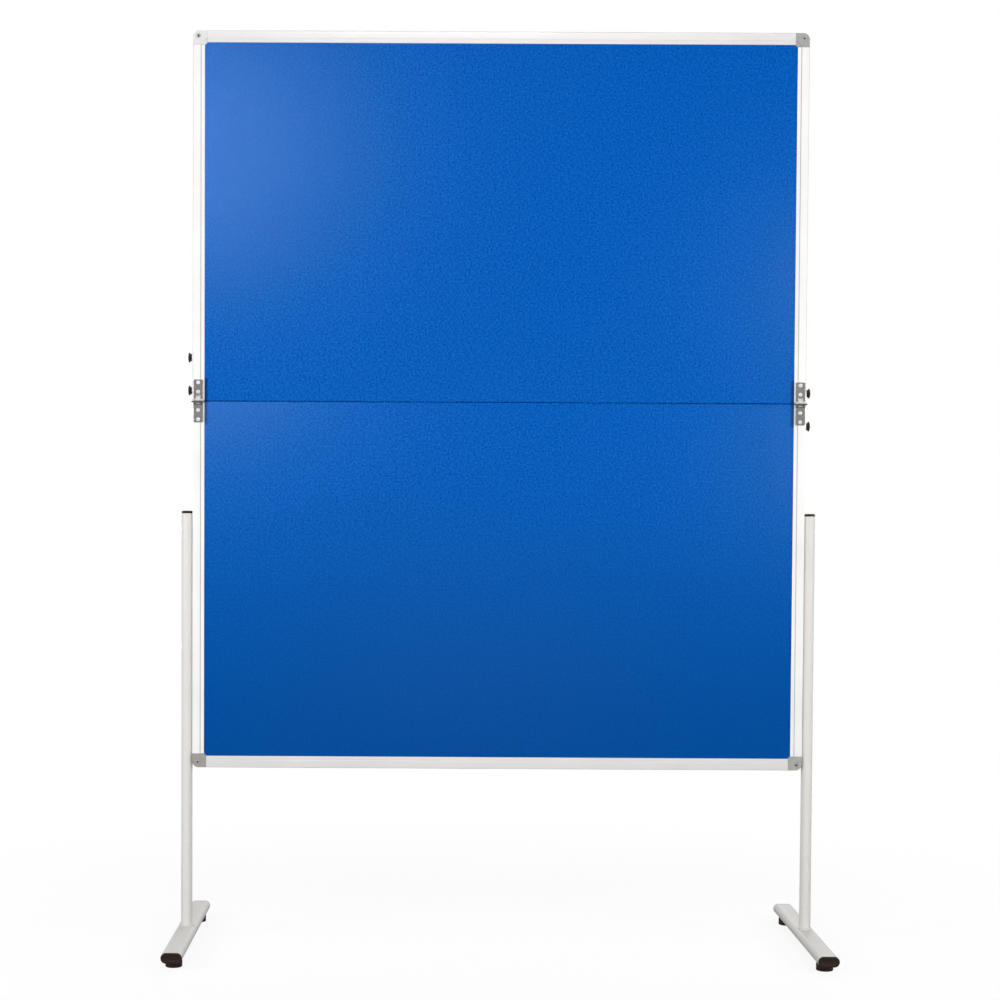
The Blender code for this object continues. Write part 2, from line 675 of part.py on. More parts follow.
def leg(side, word, materials, parent):
    """Leg tube with its cap and bolts, on the foot tube, in place around the leg's own axis."""
    axis = Vector((side * LEG_X, 0, 0))
    inner = LEG_RADIUS - LEG_WALL
    bottom = FOOT_TOP + SEAT_GAP
    profile = [(LEG_RADIUS + WELD_WIDTH, bottom), (LEG_RADIUS, bottom + WELD_HEIGHT), (LEG_RADIUS, LEG_TOP),
               (inner, LEG_TOP), (inner, bottom)]
    bm = bmesh.new()
    turned(bm, profile, LEG_STEPS, closed=True)
    tube = solid(word + "_leg_tube", bm, materials["steel"], axis, parent)

    bolt_heights = (LEG_TOP - UPPER_BOLT_DROP, LEG_TOP - UPPER_BOLT_DROP - BOLT_SPACING)
    cut = bmesh.new()
    for height in bolt_heights:
        turned(cut, [(0, -LEG_RADIUS - CUT_OVERRUN), (BOLT_RADIUS + SEAT_GAP, -LEG_RADIUS - CUT_OVERRUN),
                     (BOLT_RADIUS + SEAT_GAP, 0), (BOLT_HEAD_RADIUS + ACCESS_PLAY, 0),
                     (BOLT_HEAD_RADIUS + ACCESS_PLAY, LEG_RADIUS + CUT_OVERRUN), (0, LEG_RADIUS + CUT_OVERRUN)],
               ROUND_STEPS, turn_to(outward(side), (0, 0, height)))
    drill = solid(word + "_leg_drill", cut, materials["steel"], axis, parent)
    boolean(tube, drill, 'DIFFERENCE')

    side_height = LEG_TOP + SEAT_GAP + LEG_CAP_HEIGHT * LEG_CAP_SIDE_SHARE
    plug = inner - SEAT_GAP
    profile = [(0, LEG_TOP - LEG_PLUG_LENGTH), (plug, LEG_TOP - LEG_PLUG_LENGTH), (plug, LEG_TOP + SEAT_GAP),
               (LEG_RADIUS, LEG_TOP + SEAT_GAP), (LEG_RADIUS, side_height),
               (LEG_RADIUS * LEG_CAP_TOP_SHARE, LEG_TOP + LEG_CAP_HEIGHT), (0, LEG_TOP + LEG_CAP_HEIGHT)]
    bm = bmesh.new()
    turned(bm, profile, LEG_STEPS)
    solid(word + "_leg_cap", bm, materials["black"], axis, parent)

    seat = -math.sqrt(inner ** 2 - BOLT_HEAD_RADIUS ** 2) + SEAT_GAP
    tip = -(LEG_X - HALF_WIDTH) - SLOT_FLOOR + SEAT_GAP
    profile = [(0, tip), (BOLT_RADIUS, tip), (BOLT_RADIUS, seat), (BOLT_HEAD_RADIUS, seat),
               (BOLT_HEAD_RADIUS, seat + BOLT_HEAD_HEIGHT), (0, seat + BOLT_HEAD_HEIGHT)]
    for height, place_word in zip(bolt_heights, ("upper", "lower")):
        bm = bmesh.new()
        turned(bm, profile, ROUND_STEPS, turn_to(outward(side)))
        solid(word + "_" + place_word + "_leg_bolt", bm, materials["zinc"],
              axis + Vector((0, 0, height)), parent)
    slot_nut(word + "_leg_nut_bar", side, bolt_heights, materials["zinc"], parent)
    foot(side, word, materials, parent)


def foot(side, word, materials, parent):
    axis = Vector((side * LEG_X, 0, 0))
    middle = FOOT_BOTTOM + FOOT_HEIGHT / 2
    half_width = FOOT_WIDTH / 2
    half_height = FOOT_HEIGHT / 2
    reach = FOOT_LENGTH / 2 - FOOT_CAP_THICKNESS - SEAT_GAP
    outside = obround(half_width, half_height, FOOT_END_STEPS)
    inside = obround(half_width - FOOT_WALL, half_height - FOOT_WALL, FOOT_END_STEPS)
    bm = bmesh.new()
    prism(bm, [outside, inside], -reach, reach, turn_to("-Y"))
    tube = solid(word + "_foot_tube", bm, materials["steel"], axis + Vector((0, 0, middle)), parent)
    nuts = bmesh.new()
    cut = bmesh.new()
    nut_low = -half_height + FOOT_WALL / 2
    nut_high = -half_height + FOOT_WALL + WELD_NUT_HEIGHT
    for end in (-1, 1):
        place = (0, end * GLIDE_Y)
        prism(nuts, [circle(place, WELD_NUT_RADIUS, WELD_NUT_SIDES)], nut_low, nut_high)
        prism(cut, [circle(place, GLIDE_STUD_RADIUS + SEAT_GAP, ROUND_STEPS)],
              -half_height - CUT_OVERRUN, nut_high + CUT_OVERRUN)
    weld_nuts = solid(word + "_foot_nuts", nuts, materials["steel"], axis + Vector((0, 0, middle)), parent)
    boolean(tube, weld_nuts, 'UNION')
    drill = solid(word + "_foot_drill", cut, materials["steel"], axis + Vector((0, 0, middle)), parent)
    boolean(tube, drill, 'DIFFERENCE')

    plug = obround(half_width - FOOT_WALL - SEAT_GAP, half_height - FOOT_WALL - SEAT_GAP, FOOT_END_STEPS)
    bevelled = obround(half_width - FOOT_CAP_BEVEL, half_height - FOOT_CAP_BEVEL, FOOT_END_STEPS)
    bevel_start = FOOT_LENGTH / 2 - FOOT_CAP_BEVEL * FOOT_CAP_BEVEL_SHARE
    seat = reach + SEAT_GAP
    outlines = [(plug, reach - FOOT_PLUG_LENGTH), (plug, seat), (outside, seat), (outside, bevel_start),
                (bevelled, FOOT_LENGTH / 2)]
    for direction, place_word in (("-Y", "front"), ("+Y", "rear")):
        bm = bmesh.new()
        stack(bm, outlines, turn_to(direction))
        name = word + "_" + place_word + "_foot_cap"
        solid(name, bm, materials["black"], axis + Vector((0, 0, middle)), parent)


def glide(name, side, end, material, parent):
    """A levelling glide: a round puck on a threaded stud."""
    profile = [(0, 0), (GLIDE_RADIUS - GLIDE_EDGE, 0), (GLIDE_RADIUS, GLIDE_EDGE),
               (GLIDE_RADIUS, GLIDE_HEIGHT - GLIDE_EDGE), (GLIDE_RADIUS - GLIDE_EDGE, GLIDE_HEIGHT),
               (GLIDE_STUD_RADIUS, GLIDE_HEIGHT), (GLIDE_STUD_RADIUS, GLIDE_HEIGHT + GLIDE_STUD_LENGTH),
               (0, GLIDE_HEIGHT + GLIDE_STUD_LENGTH)]
    bm = bmesh.new()
    turned(bm, profile, ROUND_STEPS)
    solid(name, bm, material, (side * LEG_X, end * GLIDE_Y, 0), parent)


# The whole board

def build():
    clear_scene()
    materials = {
        "aluminium": finish_material("aluminium", (0.80, 0.80, 0.79), 0.35, 0.6),
        "felt": finish_material("felt", (0.002, 0.092, 0.430), 0.95, 0),
        "core": finish_material("core", (0.52, 0.40, 0.26), 0.9, 0),
        "corner": finish_material("corner", (0.42, 0.42, 0.41), 0.5, 0),
        "nickel": finish_material("nickel", (0.24, 0.235, 0.23), 0.3, 1),
        "zinc": finish_material("zinc", (0.62, 0.62, 0.60), 0.3, 1),
        "steel": finish_material("steel", (0.72, 0.70, 0.67), 0.4, 0),
        "black": finish_material("black", (0.020, 0.017, 0.015), 0.5, 0),
    }
    lower_body = axis_empty("lower_panel_body", (0, 0, 0))
    fold_axis = axis_empty("fold_axis", (0, PIN_Y, FOLD_HEIGHT), lower_body)

    lower_top = FOLD_HEIGHT - FOLD_GAP / 2
    upper_bottom = FOLD_HEIGHT + FOLD_GAP / 2
    corner_end = CORNER_LEG + SEAT_GAP
    panel_inset = CHANNEL_FLOOR + SEAT_GAP
    panel("lower", FLOOR_CLEARANCE + panel_inset, lower_top, materials, lower_body)
    panel("upper", BOARD_TOP - panel_inset, upper_bottom, materials, fold_axis)
    rail("bottom_rail", FLOOR_CLEARANCE, 1, materials["aluminium"], lower_body)
    rail("top_rail", BOARD_TOP, -1, materials["aluminium"], fold_axis)
    lower_rivets = {"near": FOLD_HEIGHT - RIVET_NEAR, "far": FOLD_HEIGHT - RIVET_FAR}
    upper_rivets = {"near": FOLD_HEIGHT + RIVET_NEAR, "far": FOLD_HEIGHT + RIVET_FAR}
    for side, word in ((LEFT, "left"), (RIGHT, "right")):
        stile("lower_" + word + "_stile", side, FLOOR_CLEARANCE + corner_end, lower_top, lower_rivets.values(),
              materials["aluminium"], lower_body)
        stile("upper_" + word + "_stile", side, upper_bottom, BOARD_TOP - corner_end, upper_rivets.values(),
              materials["aluminium"], fold_axis)
        corner("bottom_" + word + "_corner", side, FLOOR_CLEARANCE, 1, materials, lower_body)
        corner("top_" + word + "_corner", side, BOARD_TOP, -1, materials, fold_axis)
        leaf("lower_" + word + "_hinge_leaf", side, -1, materials["nickel"], lower_body)
        leaf("upper_" + word + "_hinge_leaf", side, 1, materials["nickel"], fold_axis)
        hinge_pin(word + "_hinge_pin", side, materials["nickel"])
        for place_word, height in lower_rivets.items():
            rivet("lower_" + word + "_" + place_word + "_rivet", side, height, materials["zinc"], lower_body)
        for place_word, height in upper_rivets.items():
            rivet("upper_" + word + "_" + place_word + "_rivet", side, height, materials["zinc"], fold_axis)

    pivot_height = FOLD_HEIGHT + PIVOT_HEIGHT
    for side, word, end in ((LEFT, "left", 1), (RIGHT, "right", -1)):
        link_axis = axis_empty(word + "_link_axis", (side * HALF_WIDTH, 0, pivot_height), fold_axis)
        lock_link(word + "_lock_link", side, end, materials["zinc"], link_axis)
        end_height = pivot_height + end * LOCK_SPACING
        knob(word + "_pivot_knob", side, pivot_height, -SLOT_FLOOR + SEAT_GAP, materials["black"], fold_axis)
        knob(word + "_end_knob", side, end_height, LINK_SIDE + SEAT_GAP, materials["black"], link_axis)
        slot_nut(word + "_pivot_nut", side, (pivot_height,), materials["zinc"], fold_axis)

    for side, word in ((LEFT, "left"), (RIGHT, "right")):
        leg_axis = axis_empty(word + "_leg_axis", (side * LEG_X, 0, 0), lower_body)
        leg(side, word, materials, leg_axis)
        for end, place_word in ((-1, "front"), (1, "rear")):
            glide(word + "_" + place_word + "_glide", side, end, materials["black"], leg_axis)


build()
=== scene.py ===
# %% [markdown]
# # A folding pinboard, from plain solids to a finished picture
# The object is a felt board in two halves, framed in aluminium, on two round legs with flat feet. Its
# solids come in as a fixed frame: they hold the true sizes, and they know what moves with what. Everything
# below dresses that frame. A piece that needs a finer shape is made anew in its place, and a piece that is
# hidden or already right keeps its solid and only gets its material.

# %% Load the frame
import math

import bmesh
import bpy
from mathutils import Matrix, Vector


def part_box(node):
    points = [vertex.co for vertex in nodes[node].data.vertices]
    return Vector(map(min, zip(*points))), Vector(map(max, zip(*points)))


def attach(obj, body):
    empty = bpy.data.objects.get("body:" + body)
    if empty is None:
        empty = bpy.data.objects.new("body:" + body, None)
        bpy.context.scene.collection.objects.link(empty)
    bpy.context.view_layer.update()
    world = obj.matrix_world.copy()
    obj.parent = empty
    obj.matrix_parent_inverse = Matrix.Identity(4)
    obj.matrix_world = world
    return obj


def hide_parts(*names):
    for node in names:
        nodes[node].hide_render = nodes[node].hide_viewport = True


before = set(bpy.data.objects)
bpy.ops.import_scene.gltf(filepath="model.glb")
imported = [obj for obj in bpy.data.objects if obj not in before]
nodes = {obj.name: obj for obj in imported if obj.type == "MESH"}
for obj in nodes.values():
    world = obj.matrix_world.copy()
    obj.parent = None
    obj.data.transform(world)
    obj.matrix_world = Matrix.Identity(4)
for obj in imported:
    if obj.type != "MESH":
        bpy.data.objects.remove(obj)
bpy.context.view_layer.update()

# %% [markdown]
# ## Sizes shared by several pieces
# The new pieces repeat the sizes of the solids they stand for, so that they sit where those sat. All of
# them are in metres. X runs to the right, Y to the back and Z up from the floor. Two boxes of the frame
# give the heights of the fold and of the board's ends, so those are measured.

# %% Shared sizes
MM = 0.001
LEFT = -1
RIGHT = 1
SIDES = ((LEFT, "left"), (RIGHT, "right"))
HALVES = (("lower", "lower_panel", -1), ("upper", "upper_panel", 1))
SEAT_GAP = 0.3 * MM
HALF_WIDTH = 600 * MM
HALF_DEPTH = 10 * MM
FOLD_GAP = 1 * MM
FOLD_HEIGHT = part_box("lower_left_stile")[1].z + FOLD_GAP / 2
BOARD_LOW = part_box("bottom_rail")[0].z
BOARD_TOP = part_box("top_rail")[1].z
ENDS = (("bottom", "lower_panel", BOARD_LOW, 1), ("top", "upper_panel", BOARD_TOP, -1))
CORNER_LEG = 27 * MM
FRAME_FACE = 22.8 * MM
STILE_MIDDLE = 11 * MM
HINGE_X = HALF_WIDTH - STILE_MIDDLE
PIN_Y = -14.25 * MM
LEG_X = 611.4 * MM
GLIDE_Y = 206 * MM
print("fold at", round(FOLD_HEIGHT, 4), "board from", round(BOARD_LOW, 4), "to", round(BOARD_TOP, 4))

# %% [markdown]
# ## The camera
# The picture is taken from a little below the middle of the board, four metres in front of it, with a long
# lens. The camera hardly tilts, so the board's uprights stay upright, and shifting the film plane brings
# the feet into view instead. Furniture is photographed so: tilting would make the legs lean together.

# %% Camera
FILM_WIDTH = 36
LENS = 73.92
FILM_SHIFT = (0.0775, 0.0653)
CAMERA_PLACE = (-0.1391, -4.0378, 0.8852)
YAW = 0.132
PITCH = -1.918
ROLL = -0.299
camera_data = bpy.data.cameras.new("studio camera")
camera = bpy.data.objects.new("studio camera", camera_data)
bpy.context.collection.objects.link(camera)
camera_data.sensor_width = FILM_WIDTH
camera_data.lens = LENS
camera_data.shift_x, camera_data.shift_y = FILM_SHIFT
camera.location = CAMERA_PLACE
yaw = Matrix.Rotation(math.radians(YAW), 4, 'Z')
pitch = Matrix.Rotation(math.radians(PITCH), 4, 'X')
roll = Matrix.Rotation(math.radians(ROLL), 4, 'Y')
facing = Matrix.Rotation(math.radians(90), 4, 'X')
camera.rotation_euler = (yaw @ pitch @ roll @ facing).to_euler()
bpy.context.scene.camera = camera
print("camera", round(camera.location.length, 2), "m from the middle of the floor")

# %% [markdown]
# ## Nodes by the line
# Every material below is a small network of nodes. Written out by hand, each node and each wire takes a
# line of its own. A few helpers keep that readable: they add a node and feed its sockets, do a sum, mix two
# colours and turn a value into a ramp.

# %% Node helpers
def feed(tree, socket, value):
    """Joins a socket to another one, or sets it to a plain value."""
    if isinstance(value, bpy.types.NodeSocket):
        tree.links.new(value, socket)
    else:
        socket.default_value = value


def feed_named(tree, node, **sockets):
    """Feeds sockets by their names, written with _ for a space."""
    for name, value in sockets.items():
        feed(tree, node.inputs[name.replace("_", " ")], value)


def add_node(tree, kind, settings=None, *values, **sockets):
    """Adds a node; settings are its own properties, and the values feed its sockets in order."""
    made = tree.nodes.new(kind)
    for name, value in (settings or {}).items():
        setattr(made, name, value)
    for socket, value in zip(made.inputs, values):
        feed(tree, socket, value)
    feed_named(tree, made, **sockets)
    return made


def reckon(tree, operation, *values):
    """A sum; each value is a number or a socket."""
    return add_node(tree, 'ShaderNodeMath', {"operation": operation}, *values).outputs[0]


def reckon_vectors(tree, operation, *values):
    """A sum with vectors; a dot product and a length come out as a number."""
    made = add_node(tree, 'ShaderNodeVectorMath', {"operation": operation}, *values)
    return made.outputs["Vector" if operation == 'MULTIPLY' else "Value"]


def mixed_colour(tree, share, first, second, blend='MIX'):
    """Mixes two colours; each is a colour or a socket, and the share is a number or a socket."""
    made = add_node(tree, 'ShaderNodeMix', {"data_type": 'RGBA', "blend_type": blend})
    for socket, value in ((made.inputs[0], share), (made.inputs[6], first), (made.inputs[7], second)):
        feed(tree, socket, (*value, 1) if isinstance(value, tuple) else value)
    return made.outputs[2]


def ramp(tree, value, span, ends=(0, 1), kind='SMOOTHSTEP'):
    """Runs from the first to the second of the ends while the value runs over the span."""
    made = add_node(tree, 'ShaderNodeMapRange', {"interpolation_type": kind}, Value=value,
                    From_Min=span[0], From_Max=span[1], To_Min=ends[0], To_Max=ends[1])
    return made.outputs["Result"]


print("node helpers ready")

# %% [markdown]
# ## The studio
# The board stands on a white floor that runs out of the picture on all sides. Two things make it white
# without pouring light on the object. The world is plain white only for the rays that the camera and
# reflections send, and the floor adds a part of that white for the same rays. The rest of the floor is
# paint in real light, so the soft shadows below the feet stay. In a studio the white ends somewhere behind
# the photographer. Reflections show that as a greyer front, which draws the dark side of a polished pin. So
# the white fades to grey towards the front, in reflections only. Plated metal has hardly any colour of its
# own: it is a picture of the room, and a room that is white all round would make it look like chalk.

# %% White room
def seen_directly(tree):
    """1 for rays that show a background: from the camera, in a reflection or through glass."""
    path = tree.nodes.new('ShaderNodeLightPath')
    seen = reckon(tree, 'MAXIMUM', path.outputs["Is Camera Ray"], path.outputs["Is Glossy Ray"])
    return reckon(tree, 'MAXIMUM', seen, path.outputs["Is Transmission Ray"])


AMBIENT = 0.44
ROOM_TONE = 0.30
BACK_AND_UP = (0, 0.8, 0.6)
WORLD_FADE = (-0.75, 0.15)


def in_reflections(tree, tone):
    """1 for all rays but the ones in a reflection, which get the tone."""
    path = tree.nodes.new('ShaderNodeLightPath')
    darker = reckon(tree, 'SUBTRACT', 1.0, tone)
    return reckon(tree, 'SUBTRACT', 1.0, reckon(tree, 'MULTIPLY', path.outputs["Is Glossy Ray"], darker))


world = bpy.data.worlds.new("white room")
bpy.context.scene.world = world
world.use_nodes = True
room = world.node_tree
room.nodes.clear()
ambient = add_node(room, 'ShaderNodeBackground', Color=(1, 1, 1, 1), Strength=AMBIENT)
direction = add_node(room, 'ShaderNodeTexCoord')
behind = reckon_vectors(room, 'DOT_PRODUCT', direction.outputs["Generated"], BACK_AND_UP)
backdrop = ramp(room, behind, WORLD_FADE, (ROOM_TONE, 1))
white = add_node(room, 'ShaderNodeBackground', Color=(1, 1, 1, 1), Strength=in_reflections(room, backdrop))
either = add_node(room, 'ShaderNodeMixShader', None, seen_directly(room), ambient.outputs[0],
                  white.outputs[0])
add_node(room, 'ShaderNodeOutputWorld', Surface=either.outputs[0])
print("world light:", AMBIENT)

# %% Floor
FLOOR_REACH = 9
NEAR_SHARE = 0.88
FAR_SHARE = 1.0
SHADOW_FADE = (0.5, 1.9)
PAPER_FADE = (0.3, 1.4)
PAINT = (0.30, 0.30, 0.30)
PAINT_SEEN = (0.96, 0.96, 0.96)
bm = bmesh.new()
floor_points = [bm.verts.new((x, y, 0)) for x, y in
                ((-FLOOR_REACH, -FLOOR_REACH), (FLOOR_REACH, -FLOOR_REACH),
                 (FLOOR_REACH, FLOOR_REACH), (-FLOOR_REACH, FLOOR_REACH))]
bm.faces.new(floor_points)
floor_mesh = bpy.data.meshes.new("studio_floor")
bm.to_mesh(floor_mesh)
bm.free()
floor = bpy.data.objects.new("studio_floor", floor_mesh)
bpy.context.collection.objects.link(floor)
paint = bpy.data.materials.new("white floor paint")
paint.use_nodes = True
tree = paint.node_tree
tree.nodes.clear()
tone = mixed_colour(tree, seen_directly(tree), PAINT, PAINT_SEEN)
diffuse = add_node(tree, 'ShaderNodeBsdfDiffuse', Color=tone)
spot = add_node(tree, 'ShaderNodeTexCoord')
along = add_node(tree, 'ShaderNodeSeparateXYZ', Vector=spot.outputs["Object"])
paper = ramp(tree, along.outputs["Y"], PAPER_FADE, (ROOM_TONE, 1))
glow = add_node(tree, 'ShaderNodeEmission', Color=(1, 1, 1, 1), Strength=in_reflections(tree, paper))
distance = reckon_vectors(tree, 'LENGTH', spot.outputs["Object"])
fade = ramp(tree, distance, SHADOW_FADE, (NEAR_SHARE, FAR_SHARE))
share = reckon(tree, 'MULTIPLY', seen_directly(tree), fade)
either = add_node(tree, 'ShaderNodeMixShader', None, share, diffuse.outputs[0], glow.outputs[0])
add_node(tree, 'ShaderNodeOutputMaterial', Surface=either.outputs[0])
floor_mesh.materials.append(paint)
print("floor", 2 * FLOOR_REACH, "m wide")

# %% [markdown]
# ### Lamps
# Two lamps at the sides give the round legs and knobs their shading and let each hinge throw a thin shadow
# inwards. A high and a low lamp in front and a large one behind fill the rest. Felt shines softly where a
# lamp, the sheet and the eye line up, and here that makes the bright patch at its top left. The two sheen
# lamps do only that: light linking keeps them off the frame, and they add no diffuse light.

# %% Lamps
def soft_lamp(name, place, aim, size, watts):
    data = bpy.data.lights.new(name, 'AREA')
    data.shape = 'DISK'
    data.size = size
    data.energy = watts
    lamp = bpy.data.objects.new(name, data)
    lamp.location = place
    lamp.rotation_euler = (Vector(aim) - Vector(place)).to_track_quat('-Z', 'Y').to_euler()
    lamp.visible_camera = False
    bpy.context.collection.objects.link(lamp)
    return lamp


soft_lamp("left side lamp", (-2.6, -1.95, 1.3), (0, 0, 1.1), 0.8, 44)
soft_lamp("right side lamp", (2.6, -1.95, 1.3), (0, 0, 1.1), 0.8, 38)
soft_lamp("high front lamp", (0, -3.6, 3.4), (0, 0, 1.2), 1.2, 28)
soft_lamp("low front lamp", (0, -2.6, 0.5), (0, 0, 0.5), 1.0, 16).visible_glossy = False
soft_lamp("back lamp", (0.6, 3.0, 2.6), (0, 0, 0.9), 2.4, 40)
felt_sheets = bpy.data.collections.new("felt sheets")
for name, place, size, watts in (("left sheen lamp", (-1.15, -3.4, 2.05), 1.2, 285),
                                 ("right sheen lamp", (1.55, -3.4, 1.4), 0.7, 90)):
    sheen = soft_lamp(name, place, (0, 0, 1.3), size, watts)
    sheen.visible_diffuse = False
    sheen.light_linking.receiver_collection = felt_sheets
bpy.context.scene.view_settings.view_transform = 'Standard'

# %% [markdown]
# ## Effects that several finishes share
# Grain, worn edges and dust turn up on metal, plastic and paint alike. Each is a node group, made once,
# with its strength and scale as inputs, so a finish only says how much of it it has. The groups measure the
# mesh in its own coordinates. Those are metres here, so a scale of 1000 is a grain about a millimetre wide.

# %% Group helper
def shader_group(name, inputs, outputs):
    """An empty node group with named inputs and outputs; returns its tree and both end nodes."""
    group = bpy.data.node_groups.new(name, 'ShaderNodeTree')
    for label, kind, value in inputs:
        socket = group.interface.new_socket(label, in_out='INPUT', socket_type=kind)
        socket.default_value = value
    for label, kind in outputs:
        group.interface.new_socket(label, in_out='OUTPUT', socket_type=kind)
    return group, group.nodes.new('NodeGroupInput'), group.nodes.new('NodeGroupOutput')


def use_group(tree, group, **sockets):
    return add_node(tree, 'ShaderNodeGroup', {"node_tree": group}, **sockets)


FLOAT = 'NodeSocketFloat'
VECTOR = 'NodeSocketVector'
print("group helper ready")

# %% Grain
grain, start, end = shader_group(
    "grain",
    [("Scale", FLOAT, 1000.0), ("Along", VECTOR, (1, 1, 1)), ("Turn", FLOAT, 0.0), ("Contrast", FLOAT, 1.0)],
    [("Value", FLOAT)])
place = add_node(grain, 'ShaderNodeTexCoord')
turned = add_node(grain, 'ShaderNodeVectorRotate', {"rotation_type": 'Y_AXIS'},
                  Vector=place.outputs["Object"], Angle=start.outputs["Turn"])
stretched = reckon_vectors(grain, 'MULTIPLY', turned.outputs[0], start.outputs["Along"])
speckle = add_node(grain, 'ShaderNodeTexNoise', Vector=stretched, Scale=start.outputs["Scale"],
                   Detail=3.0, Roughness=0.6)
centred = reckon(grain, 'SUBTRACT', speckle.outputs[0], 0.5)
scaled = reckon(grain, 'MULTIPLY', centred, start.outputs["Contrast"])
grain.links.new(reckon(grain, 'ADD', scaled, 0.5), end.inputs["Value"])
print("group:", grain.name)

# %% [markdown]
# ### Worn edges
# Paint and plating rub off first where two faces meet. The Bevel node looks a little way round each point
# and gives the direction of a rounded surface. Where that differs from the true direction there is an edge,
# and noise breaks the mask up so that the edge looks handled and not outlined.

# %% Edge wear
edge_wear, start, end = shader_group(
    "edge wear", [("Reach", FLOAT, 0.0006), ("Amount", FLOAT, 1.0)], [("Mask", FLOAT)])
rounded = add_node(edge_wear, 'ShaderNodeBevel', {"samples": 4}, Radius=start.outputs["Reach"])
true_way = add_node(edge_wear, 'ShaderNodeNewGeometry')
likeness = reckon_vectors(edge_wear, 'DOT_PRODUCT', rounded.outputs[0], true_way.outputs["Normal"])
difference = reckon(edge_wear, 'SUBTRACT', 1.0, likeness)
strength = reckon(edge_wear, 'MULTIPLY', difference, start.outputs["Amount"])
broken = use_group(edge_wear, grain, Scale=260.0, Contrast=2.2)
masked = reckon(edge_wear, 'MULTIPLY', strength, broken.outputs["Value"])
edge_wear.links.new(reckon(edge_wear, 'MINIMUM', masked, 1.0), end.inputs["Mask"])
print("group:", edge_wear.name)

# %% [markdown]
# ### Settled dust
# Dust lies on what faces up, thin and uneven. The Z of the surface's direction says how far it faces up.

# %% Dust
dust, start, end = shader_group("settled dust", [("Amount", FLOAT, 0.1)], [("Mask", FLOAT)])
way = add_node(dust, 'ShaderNodeNewGeometry')
parts = add_node(dust, 'ShaderNodeSeparateXYZ', Vector=way.outputs["Normal"])
upward = reckon(dust, 'MAXIMUM', parts.outputs["Z"], 0.0)
patchy = use_group(dust, grain, Scale=45.0, Contrast=1.6)
thin = reckon(dust, 'MULTIPLY', upward, patchy.outputs["Value"])
lying = reckon(dust, 'MULTIPLY', thin, start.outputs["Amount"])
dust.links.new(reckon(dust, 'MINIMUM', lying, 1.0), end.inputs["Mask"])
print("group:", dust.name)

# %% [markdown]
# ### Painted shade below the hinge pin
# The lower half of the hinge's roll and the plate just below it are painted a dark brown, as painted shade
# under the pin, while the upper half stays bright. The band is broken up by grain.

# %% Painted shade below the pin
painted_pin_shade, start, end = shader_group(
    "grime below a height", [("Height", FLOAT, 1.0), ("Reach", FLOAT, 0.0066)], [("Mask", FLOAT)])
place = add_node(painted_pin_shade, 'ShaderNodeTexCoord')
parts = add_node(painted_pin_shade, 'ShaderNodeSeparateXYZ', Vector=place.outputs["Object"])
below = reckon(painted_pin_shade, 'SUBTRACT', start.outputs["Height"], parts.outputs["Z"])
begins = ramp(painted_pin_shade, below, (-0.0004, 0.001), kind='LINEAR')
past = reckon(painted_pin_shade, 'SUBTRACT', below, start.outputs["Reach"])
stops = ramp(painted_pin_shade, past, (0, 0.002), (1, 0), kind='LINEAR')
shade_band = reckon(painted_pin_shade, 'MULTIPLY', begins, stops)
blotched = use_group(painted_pin_shade, grain, Scale=420.0, Contrast=0.7)
spread = reckon(painted_pin_shade, 'MULTIPLY', shade_band, reckon(painted_pin_shade, 'ADD', blotched.outputs["Value"], 0.45))
painted_pin_shade.links.new(reckon(painted_pin_shade, 'MINIMUM', spread, 1.0), end.inputs["Mask"])
print("group:", painted_pin_shade.name)

# %% [markdown]
# ## The hard finishes
# All hard pieces share one recipe: a base colour that drifts a little over the surface, a roughness that
# drifts with it, a fine bump, rubbed edges and a breath of dust. What makes one paint and another metal are
# the numbers on the shader's own sockets, and the way the grain is stretched: drawn aluminium has lines
# along its length, moulded plastic has an even spark-eroded grain, and powder coat has the skin of an
# orange.

# %% Hard finish recipe
DUST_COLOUR = (0.60, 0.58, 0.55)
# the colour of the painted shade below the hinge pin
PIN_SHADE_COLOUR = (0.33, 0.295, 0.265)


def hard_finish(name, colour, roughness, metallic=0.0, grain_scale=900.0, along=(1, 1, 1), bump=0.05,
                drift=0.06, worn_colour=None, wear=0.0, wear_reach=0.0006, dusty=0.05, coat=0.0,
                coat_roughness=0.1, specular=0.5, pin_shade_from=None):
    material = bpy.data.materials.new(name)
    material.use_nodes = True
    tree = material.node_tree
    fine = use_group(tree, grain, Scale=grain_scale, Along=along, Contrast=1.6)
    broad = use_group(tree, grain, Scale=9.0, Contrast=1.5)
    darker = tuple(part * (1 - drift) for part in colour)
    lighter = tuple(part * (1 + drift) for part in colour)
    patch = mixed_colour(tree, broad.outputs["Value"], darker, lighter)
    tone = mixed_colour(tree, fine.outputs["Value"], (1 - drift,) * 3, (1, 1, 1))
    surface = mixed_colour(tree, 1.0, patch, tone, 'MULTIPLY')
    if wear:
        mask = use_group(tree, edge_wear, Reach=wear_reach, Amount=wear)
        surface = mixed_colour(tree, mask.outputs["Mask"], surface, worn_colour or lighter)
    # painted shade: darker below a given height, under the hinge pin
    if pin_shade_from:
        pin_shaded = use_group(tree, painted_pin_shade, Height=pin_shade_from)
        surface = mixed_colour(tree, pin_shaded.outputs["Mask"], surface, PIN_SHADE_COLOUR)
    lying = use_group(tree, dust, Amount=dusty)
    surface = mixed_colour(tree, lying.outputs["Mask"], surface, DUST_COLOUR)
    swing = reckon(tree, 'MULTIPLY', reckon(tree, 'SUBTRACT', broad.outputs["Value"], 0.5), 0.14)
    rough = reckon(tree, 'ADD', reckon(tree, 'ADD', swing, roughness), lying.outputs["Mask"])
    relief = add_node(tree, 'ShaderNodeBump', Strength=bump, Distance=0.0002, Height=fine.outputs["Value"])
    feed_named(tree, tree.nodes["Principled BSDF"], Base_Color=surface, Roughness=rough, Metallic=metallic,
               Specular_IOR_Level=specular, Coat_Weight=coat, Coat_Roughness=coat_roughness,
               Normal=relief.outputs[0])
    return material


